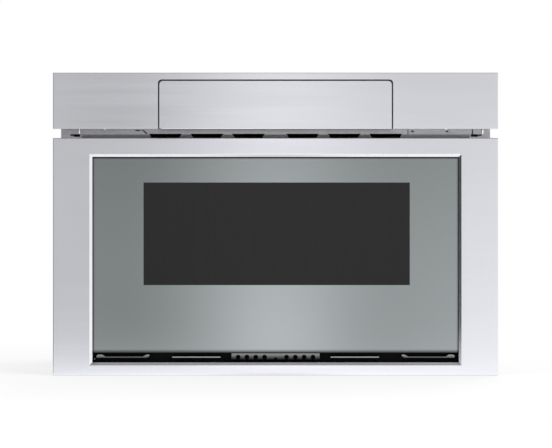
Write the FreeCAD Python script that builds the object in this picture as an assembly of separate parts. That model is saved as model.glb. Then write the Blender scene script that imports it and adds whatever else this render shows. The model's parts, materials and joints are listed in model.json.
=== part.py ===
import FreeCAD, Part
import math
import os

# Built-in microwave drawer, in millimetres.
# x = 0 is the middle of the width, the front faces -Y, +Z is up.
# y = 0 is the cabinet face, where the mounting plate's rear lies.
# z = 0 is the cabinet shelf, where the base plate rests.

os.makedirs("parts", exist_ok=True)
V = FreeCAD.Vector

# ---------------------------------------------------------------- driving dimensions

# Oven cavity (inside sizes) and the room left round it.
CAVITY_W = 440.0
CAVITY_H = 181.0
CAVITY_D = 420.0
CAVITY_T = 1.0
UNDER_CAVITY = 88.0
OVER_CAVITY = 39.0
SIDE_SPACE = 58.0
REAR_SPACE = 140.0
FLANGE_W = 12.0
FLANGE_T = 1.0

# Casing.
SHEET = 1.0
BASE_T = 1.5
BASE_LIP = 15.0
TOP_ABOVE_HEADER = 47.0

# Mounting plate.
PLATE_T = 1.5
PLATE_OVERLAP = 16.0
PLATE_FOOT = 2.0
PLATE_TOP_INSET = 2.0

# Fronts.
FRONT_OVERLAP = 25.0
FRONT_DEPTH = 32.0
FRONT_DROP = 15.0
FRONT_GAP = 13.0
FRONT_T = 1.2
FRONT_EDGE_R = 1.0
HEADER_H = 76.0
COVER_W = 316.0
COVER_TOP_STRIP = 11.4
COVER_GAP = 2.0
CORNER_R = 5.0

# Drawer front: picture frame, glass and window.
BORDER_SIDE = 50.0
BORDER_TOP = 22.0
BORDER_BOTTOM = 14.0
BEVEL = 4.0
COLLAR_T = 4.0
GLASS_RECESS = 0.3
GLASS_GAP = 0.8
GLASS_T = 4.0
TAPE_T = 1.7
TAPE_W = 12.0
SLOT_H = 12.7
WINDOW_W = 362.0
WINDOW_H = 139.0
DOOR_BACK_GAP = 3.5
DOOR_SHEET = 1.2
DOOR_INSET = 4.0
SCREEN_T = 0.6
SCREEN_EDGE = 3.0

# Choke round the oven mouth.
CHOKE_W = 20.0
CHOKE_DEPTH = 13.0
CHOKE_COVER_T = 2.0
CHOKE_CLEAR = 2.0
INNER_GLASS_T = 2.0

# Drawer pan and ceramic tray.
PAN_SIDE_GAP = 8.0
PAN_FLOAT = 3.0
PAN_REAR_GAP = 16.0
PAN_H = 62.0
PAN_T = 1.5
TRAY_T = 5.0
TRAY_GAP = 2.5
TRAY_CORNER_R = 12.0
PAN_CORNER_R = 10.0

# Telescopic slides.
TRAVEL = 400.0
SLIDE_L = 450.0
SLIDE_H = 46.0
SLIDE_W = 12.0
SLIDE_T = 1.5
SLIDE_LIP = 3.0
SLIDE_CLEAR = 0.4
SLIDE_Z0 = 24.0
SLIDE_START = 2.0
SLIDE_WALL_GAP = 12.5
SLIDE_BRACKET_T = 2.0
RIB_H = 14.0
ARM_T = 2.0
ARM_H = 26.0
ARM_TAB_W = 22.0
TAB_T = 2.0

# Rack and pinion.
MODULE = 1.5
PINION_TEETH = 20
PRESSURE_ANGLE = 20.0
TOOTH_THINNING = 0.35
RACK_TEETH = 93
RACK_W = 10.0
RACK_BODY = 10.0
RACK_Z = 45.0
PINION_T = 12.0
PINION_Y = 25.0
PINION_SHAFT_R = 4.0
RUN_CLEAR = 0.05

# Swinging control panel.
PIVOT_IN = 8.0
PIVOT_UP = 8.0
PIN_R = 3.0
GLASS_SLAB_T = 2.5
CARRIER_GAP = 8.0

# Rear blower.
FAN_SIDE = 148.0
FAN_Z = 180.0
FAN_R = 62.0
FAN_TIP_GAP = 3.0
FAN_BLADES = 5
FAN_SHAFT_R = 2.5

# Wave guide and stirrer.
GUIDE_W = 96.0
GUIDE_H = 41.0
GUIDE_T = 1.0
STIRRER_R = 70.0
STIRRER_SHAFT_R = 2.5

# Fastening.
MOUNT_HOLE_R = 2.5
MOUNT_SPACING_Z = 250.0
MOUNT_HOLE_EDGE = 7.0
SCREW_R = 2.0
SCREW_HEAD_R = 4.0
SCREW_HEAD_H = 1.8
SCREW_FIT = 0.15
GLAND_R = 5.5

# ---------------------------------------------------------------- worked-out planes

BODY_W = CAVITY_W + 2 * SIDE_SPACE
BODY_D = CAVITY_D + REAR_SPACE
HALF_BODY = BODY_W / 2
HALF_FRONT = HALF_BODY + FRONT_OVERLAP
HALF_PLATE = HALF_BODY + PLATE_OVERLAP
HALF_CAVITY = CAVITY_W / 2
FAN_X = -HALF_BODY + FAN_SIDE

CAVITY_Z0 = UNDER_CAVITY
CAVITY_Z1 = CAVITY_Z0 + CAVITY_H
CAVITY_TOP = CAVITY_Z1 + CAVITY_T
CAVITY_MID_Z = (CAVITY_Z0 + CAVITY_Z1) / 2
CAVITY_BACK = CAVITY_D + CAVITY_T

DRAWER_Z0 = -FRONT_DROP
DRAWER_Z1 = CAVITY_Z1 + OVER_CAVITY
HEADER_Z0 = DRAWER_Z1 + FRONT_GAP
HEADER_Z1 = HEADER_Z0 + HEADER_H
BODY_H = HEADER_Z0 + TOP_ABOVE_HEADER
PLATE_TOP = HEADER_Z1 - FRONT_T - PLATE_TOP_INSET

FACE_Y = -FRONT_DEPTH
PLATE_Y = -PLATE_T
DOOR_BACK_Y = PLATE_Y - DOOR_BACK_GAP
BEVEL_Y = FACE_Y + BEVEL
GLASS_Y = BEVEL_Y + GLASS_RECESS
TAPE_Y = GLASS_Y + GLASS_T
DOOR_Y = TAPE_Y + TAPE_T
DOOR_REAR_IN = DOOR_BACK_Y - DOOR_SHEET
INNER_GLASS_Y = DOOR_BACK_Y + INNER_GLASS_T

APERTURE_X = HALF_FRONT - BORDER_SIDE
APERTURE_Z0 = DRAWER_Z0 + BORDER_BOTTOM
APERTURE_Z1 = DRAWER_Z1 - BORDER_TOP
OPEN_X = APERTURE_X - BEVEL
OPEN_Z0 = APERTURE_Z0 + BEVEL
OPEN_Z1 = APERTURE_Z1 - BEVEL
GLASS_X = OPEN_X - GLASS_GAP
GLASS_Z0 = OPEN_Z0 + SLOT_H
GLASS_Z1 = OPEN_Z1 - GLASS_GAP
WINDOW_Z0 = CAVITY_MID_Z - WINDOW_H / 2
WINDOW_Z1 = CAVITY_MID_Z + WINDOW_H / 2

DOOR_X = HALF_FRONT - DOOR_INSET
DOOR_Z0 = GLASS_Z0 + 1.5
DOOR_Z1 = DRAWER_Z1 - 2 * DOOR_INSET
CHOKE_X0 = HALF_CAVITY + CHOKE_CLEAR
CHOKE_X1 = CHOKE_X0 + CHOKE_W
CHOKE_Z0 = CAVITY_Z0 - CHOKE_CLEAR
CHOKE_Z1 = CAVITY_Z1 + CHOKE_CLEAR
CHOKE_Z0_OUT = CHOKE_Z0 - CHOKE_W
CHOKE_Z1_OUT = CHOKE_Z1 + CHOKE_W

SLIDE_OUT_X = HALF_BODY - SLIDE_WALL_GAP - SLIDE_BRACKET_T
SLIDE_IN_X = SLIDE_OUT_X - SLIDE_W
SLIDE_MID_Z = SLIDE_Z0 + SLIDE_H / 2
SLIDE_STEP = SLIDE_T + SLIDE_CLEAR
ARM_X = SLIDE_IN_X - ARM_T
ARM_Z0 = SLIDE_MID_Z - ARM_H / 2

PITCH_R = MODULE * PINION_TEETH / 2
RACK_PITCH = MODULE * math.pi
RACK_L = RACK_PITCH * RACK_TEETH
RACK_START = PINION_Y - 4 * RACK_PITCH

COVER_X = COVER_W / 2
COVER_Z1 = HEADER_Z1 - COVER_TOP_STRIP
CUT_X = COVER_X + COVER_GAP
CUT_Z1 = COVER_Z1 + COVER_GAP
PIVOT_Y = FACE_Y + PIVOT_IN
PIVOT_Z = HEADER_Z0 + PIVOT_UP
CARRIER_X = COVER_X - CARRIER_GAP
COVER_T = 1.5

STIRRER_Y = CAVITY_D / 2
PAN_X = HALF_CAVITY - PAN_SIDE_GAP
PAN_Z0 = CAVITY_Z0 + PAN_FLOAT
PAN_BACK = CAVITY_D - PAN_REAR_GAP


# ---------------------------------------------------------------- helpers

def block(x0, x1, y0, y1, z0, z1):
    """Box between two corners."""
    return Part.makeBox(x1 - x0, y1 - y0, z1 - z0, V(x0, y0, z0))


def rod(start, direction, radius, length):
    """Round bar from a start point."""
    return Part.makeCylinder(radius, length, V(*start), V(*direction))


def prism_x(points, x0, x1):
    """Outline given in (y, z), drawn out along X."""
    loop = [V(x0, y, z) for y, z in points]
    return Part.Face(Part.makePolygon(loop + loop[:1])).extrude(V(x1 - x0, 0, 0))


def prism_y(points, y0, y1):
    """Outline given in (x, z), drawn out along Y."""
    loop = [V(x, y0, z) for x, z in points]
    return Part.Face(Part.makePolygon(loop + loop[:1])).extrude(V(0, y1 - y0, 0))


def prism_z(points, z0, z1):
    """Outline given in (x, y), drawn out along Z."""
    loop = [V(x, y, z0) for x, y in points]
    return Part.Face(Part.makePolygon(loop + loop[:1])).extrude(V(0, 0, z1 - z0))


def mirrored(shape):
    """The same shape on the other side of the middle plane."""
    return shape.mirror(V(0, 0, 0), V(1, 0, 0))


def both(shape):
    """A shape and its mirror image."""
    return [shape, mirrored(shape)]


def joined(shapes):
    """One solid from touching shapes."""
    return shapes[0].multiFuse(shapes[1:]).removeSplitter()


def without(shape, tools):
    """A shape with holes and cut-outs taken away."""
    return shape.cut(tools)


def round_top(half_w, y0, y1, z0, z1, radius):
    """Upright plate whose two top corners are round."""
    plate = block(-half_w, half_w, y0, y1, z0, z1)
    edges = []
    for edge in plate.Edges:
        middle = edge.CenterOfMass
        if abs(middle.z - z1) < 1e-6 and abs(abs(middle.x) - half_w) < 1e-6:
            edges.append(edge)
    return plate.makeFillet(radius, edges)


def open_box(x0, x1, y0, y1, z0, z1, wall):
    """Box with walls, open towards the front (-Y)."""
    inside = block(x0 + wall, x1 - wall, y0, y1 - wall, z0 + wall, z1 - wall)
    return block(x0, x1, y0, y1, z0, z1).cut(inside)


def soft_edged(x0, x1, y0, y1, z0, z1, radius):
    """Box whose front face (at y0) has rounded outer edges."""
    box = block(x0, x1, y0, y1, z0, z1)
    front = [edge for edge in box.Edges if abs(edge.CenterOfMass.y - y0) < 1e-6]
    return box.makeFillet(radius, front)


def upright_edges(shape):
    """The edges of a shape that run along Z."""
    return [edge for edge in shape.Edges if abs(edge.tangentAt(edge.FirstParameter).z) > 0.9]


def tapered_opening(half_w, z0, z1, y0, y1, inset):
    """Opening that narrows by an inset on every side from y0 to y1."""
    return Part.makeWedge(-half_w, y0, z0, z0 + inset, -half_w + inset,
                          half_w, y1, z1, z1 - inset, half_w - inset)


def save(node, shapes):
    """Write one node, as a single solid or a group of solids."""
    shape = shapes if not isinstance(shapes, list) else Part.makeCompound(shapes)
    if not shape.isValid():
        print("NOT VALID", node)
    shape.exportStep("parts/" + node + ".step")
    print(node, len(shape.Solids), round(shape.Volume / 1000.0, 2), "cm3")


# ---------------------------------------------------------------- screws

def screw_fit_holes(points, direction, length):
    """Clearance holes for screws that start at the given points."""
    return [rod(p, direction, SCREW_R + SCREW_FIT, length) for p in points]


def screws(points, direction, length):
    """Pan-head screws: shanks along the direction, heads behind their start."""
    out = []
    back = [-c for c in direction]
    for point in points:
        shank = rod(point, direction, SCREW_R, length)
        head = rod(point, back, SCREW_HEAD_R, SCREW_HEAD_H)
        out.append(joined([shank, head]))
    return out


# ---------------------------------------------------------------- casing

COVER_SCREW_INSET = 40.0
COVER_SCREW_Y = (COVER_SCREW_INSET, BODY_D / 2, BODY_D - COVER_SCREW_INSET)
COVER_SCREW_Z = BASE_LIP / 2 + BASE_T / 2
REAR_SCREW_X = HALF_BODY - 20.0
REAR_SCREW_Z = (30.0, BODY_H - 8.0)
GLAND_X = -HALF_BODY + 48.0
GLAND_Z = 40.0
GLAND_NUT_R = 11.0
GLAND_HOLE_R = 9.0


def cover_screw_points(side):
    return [(side * HALF_BODY, y, COVER_SCREW_Z) for y in COVER_SCREW_Y]


def rear_screw_points():
    return [(side * REAR_SCREW_X, BODY_D + SHEET, z) for side in (-1, 1) for z in REAR_SCREW_Z]


def base_plate():
    """Sheet-steel floor with turned-up edges, intake slots and drain holes."""
    half = HALF_BODY - SHEET
    floor = block(-half, half, 0, BODY_D, 0, BASE_T)
    lip = block(half - BASE_T, half, 0, BODY_D, BASE_T, BASE_LIP)
    rear = block(-half + BASE_T, half - BASE_T, BODY_D - BASE_T, BODY_D, BASE_T, BASE_LIP)
    plate = joined([floor, rear] + both(lip))
    slots = []
    slot_l = 46.0
    slot_w = 6.0
    for column in range(-3, 4):
        for row in range(3):
            x = column * 56.0
            y = 150.0 + row * 16.0
            slots.append(block(x - slot_l / 2, x + slot_l / 2, y, y + slot_w, -1, BASE_T + 1))
    for side in (-1, 1):
        inward = (-side, 0, 0)
        slots += screw_fit_holes(cover_screw_points(side), inward, SHEET + BASE_T + 4)
    return without(plate, slots)


def outer_cover():
    """Wrap of thin sheet over the top and both sides, with louvre slots."""
    outside = block(-HALF_BODY, HALF_BODY, 0, BODY_D, 0, BODY_H)
    inner_x = HALF_BODY - SHEET
    inside = block(-inner_x, inner_x, -1, BODY_D + 1, -1, BODY_H - SHEET)
    cuts = []
    for row in range(6):
        z = CAVITY_MID_Z - 40.0 + row * 14.0
        for y in (70.0, 160.0, BODY_D - 130.0):
            cuts.append(block(-HALF_BODY - 1, HALF_BODY + 1, y, y + 60.0, z, z + 3.5))
    for row in range(5):
        y = BODY_D - 110.0 + row * 14.0
        for x in (-190.0, -95.0, 95.0, 190.0):
            cuts.append(block(x - 30.0, x + 30.0, y, y + 3.5, BODY_H - 5, BODY_H + 1))
    for side in (-1, 1):
        inward = (-side, 0, 0)
        cuts += screw_fit_holes(cover_screw_points(side), inward, SHEET + 0.5)
    return without(outside.cut(inside), cuts)


def rear_panel():
    """Back sheet with the blower grille, vent slots and the supply inlet hole."""
    sheet = block(-HALF_BODY, HALF_BODY, BODY_D, BODY_D + SHEET, 0, BODY_H)
    bend = block(-HALF_BODY + SHEET, HALF_BODY - SHEET, BODY_D - 12, BODY_D,
                 BODY_H - 2 * SHEET, BODY_H - SHEET)
    cuts = [rod((GLAND_X, BODY_D - 5, GLAND_Z), (0, 1, 0), GLAND_HOLE_R, 10)]
    pitch = 12.0
    reach = FAN_R - 6.0
    for row in range(-4, 5):
        z = FAN_Z + row * pitch
        half = math.sqrt(reach ** 2 - (row * pitch) ** 2)
        cuts.append(block(FAN_X - half, FAN_X - 3, BODY_D - 1, BODY_D + 2, z - 2.5, z + 2.5))
        cuts.append(block(FAN_X + 3, FAN_X + half, BODY_D - 1, BODY_D + 2, z - 2.5, z + 2.5))
    for row in range(8):
        z = 60.0 + row * 12.0
        cuts.append(block(80.0, 200.0, BODY_D - 1, BODY_D + 2, z, z + 4.0))
    for point in rear_screw_points():
        cuts.append(rod(point, (0, -1, 0), SCREW_R + SCREW_FIT, SHEET + 0.5))
    return without(joined([sheet, bend]), cuts)


def chassis_screws():
    """Screws of the wrap cover and of the back sheet."""
    out = []
    for side in (-1, 1):
        out += screws(cover_screw_points(side), (-side, 0, 0), 5.0)
    out += screws(rear_screw_points(), (0, -1, 0), 5.0)
    return out


VENT_FIRST = 37.0
VENT_PITCH = 57.0
VENT_TOP_W = 45.0
VENT_BOTTOM_W = 31.0
VENT_H = 12.0
VENT_ABOVE_FRONT = 6.7
KEY_SLOT_X0 = HALF_PLATE - 26.5
KEY_SLOT_X1 = HALF_PLATE - 17.0
KEY_SLOT_UP = (2.5, 6.0)
SLOT_Z0 = SLIDE_Z0 - 4.0
SLOT_Z1 = SLIDE_Z0 + SLIDE_H + 4.0
SLIDE_SLOT_X0 = ARM_X - 5.0
SLIDE_SLOT_X1 = SLIDE_OUT_X + 4.0
HOOK_X0 = CHOKE_X1 + 9.0
HOOK_T = 3.0
HOOK_Z = (150.0, 170.0)
HOOK_SLOT_GAP = 3.0
MODULE_CUT_X = CARRIER_X + 1.0
MODULE_CUT_Z0 = HEADER_Z0 + 4.0
MODULE_CUT_Z1 = BODY_H - 2.0


def vent_outlines():
    """The six exhaust slots, wider at the top than at the bottom."""
    z1 = DRAWER_Z1 + VENT_ABOVE_FRONT
    z0 = z1 - VENT_H
    outlines = []
    for index in range(3):
        for side in (-1, 1):
            x = side * (VENT_FIRST + index * VENT_PITCH)
            outlines.append([(x - VENT_BOTTOM_W / 2, z0), (x + VENT_BOTTOM_W / 2, z0),
                             (x + VENT_TOP_W / 2, z1), (x - VENT_TOP_W / 2, z1)])
    return outlines


def mount_hole_points():
    """The four cabinet screws."""
    x = HALF_PLATE - MOUNT_HOLE_EDGE
    return [(side * x, CAVITY_MID_Z + up * MOUNT_SPACING_Z / 2) for side in (-1, 1) for up in (-1, 1)]


def front_plate():
    """Mounting plate that overlaps the cabinet face, with all its openings."""
    front = PLATE_Y - 1
    back = 1
    plate = block(-HALF_PLATE, HALF_PLATE, PLATE_Y, 0, PLATE_FOOT, PLATE_TOP)
    cuts = [block(-HALF_CAVITY, HALF_CAVITY, front, back, CAVITY_Z0, CAVITY_Z1)]
    cuts += both(block(SLIDE_SLOT_X0, SLIDE_SLOT_X1, front, back, SLOT_Z0, SLOT_Z1))
    cuts.append(block(-24.0, 24.0, front, back, RACK_Z - 12, RACK_Z + 12))
    hook_x1 = HOOK_X0 + HOOK_T + HOOK_SLOT_GAP
    cuts += both(block(HOOK_X0 - HOOK_SLOT_GAP, hook_x1, front, back,
                       HOOK_Z[0] - 4, HOOK_Z[1] + 4))
    cuts.append(block(-MODULE_CUT_X, MODULE_CUT_X, front, back, MODULE_CUT_Z0, MODULE_CUT_Z1))
    cuts += [prism_y(outline, front, back) for outline in vent_outlines()]
    cuts += [rod((x, front, z), (0, 1, 0), MOUNT_HOLE_R, back - front)
             for x, z in mount_hole_points()]
    cuts += both(block(KEY_SLOT_X0, KEY_SLOT_X1, front, back, DRAWER_Z1 + KEY_SLOT_UP[0],
                       DRAWER_Z1 + KEY_SLOT_UP[1]))
    return without(plate, cuts)


# ---------------------------------------------------------------- header

HEM_TAB_X = HALF_FRONT - 71.0
HEM_TAB_H = 2.2


def header_fascia():
    """Fixed stainless panel with folded edges round the control panel's opening."""
    outside = soft_edged(-HALF_FRONT, HALF_FRONT, FACE_Y, PLATE_Y, HEADER_Z0, HEADER_Z1, FRONT_EDGE_R)
    inside = block(-HALF_FRONT + FRONT_T, HALF_FRONT - FRONT_T, FACE_Y + FRONT_T, PLATE_Y + 1,
                   HEADER_Z0 + FRONT_T, HEADER_Z1 - FRONT_T)
    reveal = block(-CUT_X - FRONT_T, CUT_X + FRONT_T, FACE_Y, PLATE_Y, HEADER_Z0, CUT_Z1 + FRONT_T)
    opening = round_top(CUT_X, FACE_Y - 1, PLATE_Y + 1, HEADER_Z0 - 1, CUT_Z1, CORNER_R)
    top = HEADER_Z0 + FRONT_T
    tab = prism_y([(HEM_TAB_X - 3.0, top), (HEM_TAB_X + 3.0, top), (HEM_TAB_X + 0.8, HEADER_Z0 - HEM_TAB_H),
                   (HEM_TAB_X - 0.8, HEADER_Z0 - HEM_TAB_H)], FACE_Y + FRONT_T, FACE_Y + 2 * FRONT_T)
    return joined([outside.cut(inside), reveal] + both(tab)).cut(opening)


BRACKET_GAP = 1.0
BRACKET_T = 3.0
BRACKET_FOOT_W = 3.0
BRACKET_FOOT_T = 1.2
BRACKET_R = 6.0


def hinge_brackets():
    """Two ears on the mounting plate that carry the control panel's pivots."""
    x0 = CARRIER_X + BRACKET_GAP
    x1 = x0 + BRACKET_T
    ear = joined([
        rod((x0, PIVOT_Y, PIVOT_Z), (1, 0, 0), BRACKET_R, BRACKET_T),
        block(x0, x1, PIVOT_Y, PLATE_Y, PIVOT_Z - 4.5, PIVOT_Z + 6),
        block(x0, x1 + BRACKET_FOOT_W, PLATE_Y - BRACKET_FOOT_T, PLATE_Y, PIVOT_Z - 4.5, PIVOT_Z + 14),
    ])
    bore = rod((x0 - 1, PIVOT_Y, PIVOT_Z), (1, 0, 0), PIN_R + RUN_CLEAR, BRACKET_T + 2)
    return both(ear.cut(bore))


STRIKER_X0 = COVER_X - 7.0
STRIKER_X1 = COVER_X - 2.0
STRIKER_UP = 48.0
STRIKER_REACH = 10.0
PLUNGER_R = 2.5
PLUNGER_GAP = 2.3
PLUNGER_L = 6.0
LATCH_RIM = 0.2
LATCH_HALF_H = 5.0
LATCH_BORE_L = 8.0


def plunger_place():
    """Middle of a push latch: x, y of the plunger's tip, z."""
    x = (STRIKER_X0 + STRIKER_X1) / 2
    return x, PIVOT_Y + STRIKER_REACH + PLUNGER_GAP, PIVOT_Z + STRIKER_UP


def push_latches():
    """Touch-latch housings behind the two ends of the control panel."""
    x, tip_y, z = plunger_place()
    front = tip_y + LATCH_RIM
    body = block(x - 3.4, x + 3.4, front, PLATE_Y, z - LATCH_HALF_H, z + LATCH_HALF_H)
    bore = rod((x, front - 1, z), (0, 1, 0), PLUNGER_R + RUN_CLEAR, LATCH_BORE_L + 1)
    return both(body.cut(bore))


def latch_plungers():
    """Spring plungers that push the control panel open."""
    x, tip_y, z = plunger_place()
    pin = rod((x, tip_y, z), (0, 1, 0), PLUNGER_R, PLUNGER_L)
    return both(pin)


HOUSING_T = 1.5
HOUSING_D = 22.0


def control_housing():
    """Bin behind the mounting plate that keeps the control panel's space closed."""
    half = MODULE_CUT_X + 5.0
    return open_box(-half, half, 0, HOUSING_D, HEADER_Z0 - 5.0, BODY_H - SHEET, HOUSING_T)


# ---------------------------------------------------------------- control panel

PANEL_RETURN = 8.0
PANEL_FOOT_RETURN = 4.0
CARRIER_WALL = 4.0
# Carrier's side view as (behind, above) the pivot: front foot, front top, rim, rear, belly.
CARRIER_FRONT = COVER_T - PIVOT_IN
CARRIER_FOOT = -6.3
SLOPE_TOP = (-3.5, 52.0)
SLOPE_END = (38.0, 12.0)
CARRIER_VIEW = [(CARRIER_FRONT, CARRIER_FOOT), (CARRIER_FRONT, SLOPE_TOP[1]), SLOPE_TOP,
                SLOPE_END, (38.0, 8.0), (20.0, -3.0), (10.0, CARRIER_FOOT)]
HOLLOW_VIEW = [(-4.3, -4.3), (-4.3, 50.0), (-1.0, 54.0), (38.0, 16.4), (35.8, 9.3),
               (19.4, -0.9), (9.4, -4.3)]


def at_pivot(view):
    """Points given from the pivot, in the part's own y and z."""
    return [(PIVOT_Y + y, PIVOT_Z + z) for y, z in view]


def slope_slab(along0, along1, above0, above1, x0, x1):
    """Slab on the sloping top: along it from its upper end, and above it, in mm."""
    run = SLOPE_END[0] - SLOPE_TOP[0]
    fall = SLOPE_END[1] - SLOPE_TOP[1]
    length = math.hypot(run, fall)
    uy = run / length
    uz = fall / length
    view = []
    for along, above in ((along0, above0), (along1, above0), (along1, above1), (along0, above1)):
        view.append((SLOPE_TOP[0] + uy * along - uz * above, SLOPE_TOP[1] + uz * along + uy * above))
    return prism_x(at_pivot(view), x0, x1)


SLOPE_L = math.hypot(SLOPE_END[0] - SLOPE_TOP[0], SLOPE_END[1] - SLOPE_TOP[1])


def panel_cover():
    """Stainless cover of the control panel, with folded edges."""
    rear = FACE_Y + PANEL_RETURN
    outside = round_top(COVER_X, FACE_Y, rear, HEADER_Z0, COVER_Z1, CORNER_R)
    inner_r = CORNER_R - FRONT_T
    inside = round_top(COVER_X - FRONT_T, FACE_Y + COVER_T, rear + 1, HEADER_Z0 + FRONT_T,
                       COVER_Z1 - FRONT_T, inner_r)
    foot_cut = block(-COVER_X - 1, COVER_X + 1, FACE_Y + PANEL_FOOT_RETURN, rear + 1,
                     HEADER_Z0 - 1, HEADER_Z0 + FRONT_T)
    return outside.cut(inside).cut(foot_cut)


def panel_carrier():
    """Moulded body behind the cover: hollow, with end cheeks and a sloping open top."""
    body = prism_x(at_pivot(CARRIER_VIEW), -CARRIER_X, CARRIER_X)
    inner_x = CARRIER_X - CARRIER_WALL
    hollow = prism_x(at_pivot(HOLLOW_VIEW), -inner_x, inner_x)
    pin_hole = rod((inner_x - 1, PIVOT_Y, PIVOT_Z), (1, 0, 0), PIN_R, CARRIER_WALL + 2)
    return body.cut([hollow] + both(pin_hole))


def panel_pivots():
    """Steel pivot pins in the carrier's cheeks."""
    start = CARRIER_X - CARRIER_WALL
    length = CARRIER_WALL + BRACKET_GAP + BRACKET_T + 0.5
    return both(rod((start, PIVOT_Y, PIVOT_Z), (1, 0, 0), PIN_R, length))


def touch_glass():
    """Sloping glass with the touch keys."""
    half = CARRIER_X - 0.5
    return slope_slab(0, SLOPE_L, 0, GLASS_SLAB_T, -half, half)


def display():
    """Number display under the middle of the glass."""
    return slope_slab(12.0, 36.0, -6.0, 0, -30.0, 30.0)


def control_board():
    """Circuit board with chips under the display."""
    board = slope_slab(8.0, SLOPE_L - 9.0, -7.6, -6.0, -CARRIER_X + 8, CARRIER_X - 8)
    chips = []
    for x0, x1 in ((-110.0, -90.0), (-60.0, -45.0), (50.0, 80.0), (100.0, 112.0)):
        chips.append(slope_slab(16.0, 30.0, -10.6, -7.6, x0, x1))
    posts = []
    for side in (-1, 1):
        x = side * (CARRIER_X - 6.0)
        posts.append(slope_slab(14.0, 40.0, -7.6, -2.0, x - 2.0, x + 2.0))
    return joined([board] + chips + posts)


def latch_strikers():
    """Tongues at the ends of the cover that meet the push latches."""
    y0 = FACE_Y + COVER_T
    z = PIVOT_Z + STRIKER_UP
    tongue = block(STRIKER_X0, STRIKER_X1, y0, PIVOT_Y + STRIKER_REACH, z - 2.0, z + 2.0)
    foot = block(STRIKER_X0, STRIKER_X1, y0, y0 + 1.5, z - 8.0, z + 5.0)
    return both(joined([tongue, foot]))


# ---------------------------------------------------------------- oven cavity

LAMP_Y = 300.0
LAMP_Z = CAVITY_Z1 - 30.0


def oven_cavity():
    """Welded box, open at the front, with a flange behind the mounting plate."""
    box = open_box(-HALF_CAVITY - CAVITY_T, HALF_CAVITY + CAVITY_T, 0, CAVITY_BACK,
                   CAVITY_Z0 - CAVITY_T, CAVITY_TOP, CAVITY_T)
    rim_x = HALF_CAVITY + FLANGE_W
    rim = block(-rim_x, rim_x, 0, FLANGE_T, CAVITY_Z0 - FLANGE_W, CAVITY_Z1 + FLANGE_W)
    mouth = block(-HALF_CAVITY, HALF_CAVITY, -1, FLANGE_T + 1, CAVITY_Z0, CAVITY_Z1)
    cuts = [rod((0, STIRRER_Y, CAVITY_Z1 - 1), (0, 0, 1), GUIDE_W / 2 - 6, CAVITY_T + 2)]
    for column in range(5):
        for row in range(4):
            y = LAMP_Y - 12.0 + column * 6.0
            z = LAMP_Z - 9.0 + row * 6.0
            cuts.append(rod((HALF_CAVITY - 1, y, z), (1, 0, 0), 1.8, CAVITY_T + 2))
            cuts.append(rod((-HALF_CAVITY + 1, y, z), (-1, 0, 0), 1.8, CAVITY_T + 2))
    return without(joined([box, rim.cut(mouth)]), cuts)


def cavity_supports():
    """Two Z rails that stand on the base and carry the cavity."""
    top = CAVITY_Z0 - CAVITY_T
    web_x = HALF_CAVITY - 10.0
    y1 = CAVITY_D - 10.0
    rail = joined([
        block(web_x - 20, web_x, 10.0, y1, BASE_T, 2 * BASE_T),
        block(web_x - BASE_T, web_x, 10.0, y1, BASE_T, top),
        block(web_x - BASE_T, web_x + 8.0, 10.0, y1, top - BASE_T, top),
    ])
    windows = [block(web_x - 5, web_x + 5, y, y + 60.0, 20.0, top - 20.0) for y in (50.0, 150.0, 250.0)]
    return both(rail.cut(windows))


def oven_lamp():
    """Lamp housing on the cavity's right wall, with its bulb inside."""
    x0 = HALF_CAVITY + CAVITY_T
    half = 17.0
    depth = 34.0
    shell = block(x0, x0 + depth, LAMP_Y - half, LAMP_Y + half, LAMP_Z - half, LAMP_Z + half)
    room = block(x0 - 1, x0 + depth - 2, LAMP_Y - half + 2, LAMP_Y + half - 2,
                 LAMP_Z - half + 2, LAMP_Z + half - 2)
    bulb_len = 20.0
    bulb = rod((x0 + depth - 2 - bulb_len, LAMP_Y, LAMP_Z), (1, 0, 0), 8.0, bulb_len)
    tip = Part.makeSphere(8.0, V(x0 + depth - 2 - bulb_len, LAMP_Y, LAMP_Z))
    cap = block(x0 + 1, x0 + depth, LAMP_Y - 9, LAMP_Y + 9, LAMP_Z - 9, LAMP_Z + 9)
    return [shell.cut(room), joined([bulb, tip.common(cap)])]


def wave_guide():
    """Channel on the cavity's roof that brings the microwaves to the stirrer."""
    half = GUIDE_W / 2
    y0 = STIRRER_Y - half - 4
    y1 = BODY_D - 40.0
    outside = block(-half, half, y0, y1, CAVITY_TOP, CAVITY_TOP + GUIDE_H)
    inside = block(-half + GUIDE_T, half - GUIDE_T, y0 + GUIDE_T, y1 - GUIDE_T,
                   CAVITY_TOP + GUIDE_T, CAVITY_TOP + GUIDE_H - GUIDE_T)
    rim_w = 10.0
    rim = block(-half - rim_w, half + rim_w, y0 - rim_w, CAVITY_BACK, CAVITY_TOP, CAVITY_TOP + GUIDE_T)
    cuts = [
        rod((0, STIRRER_Y, CAVITY_TOP - 1), (0, 0, 1), half - 6, GUIDE_T + 2),
        rod((0, MAGNETRON_Y, CAVITY_TOP - 1), (0, 0, 1), ANTENNA_R + 2, GUIDE_T + 2),
        rod((0, STIRRER_Y, CAVITY_TOP + GUIDE_H - 3), (0, 0, 1), STIRRER_SHAFT_R + 2, 5),
    ]
    return without(joined([outside.cut(inside), rim]), cuts)


MAGNETRON_Y = CAVITY_BACK + 52.0
ANTENNA_R = 8.0


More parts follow.
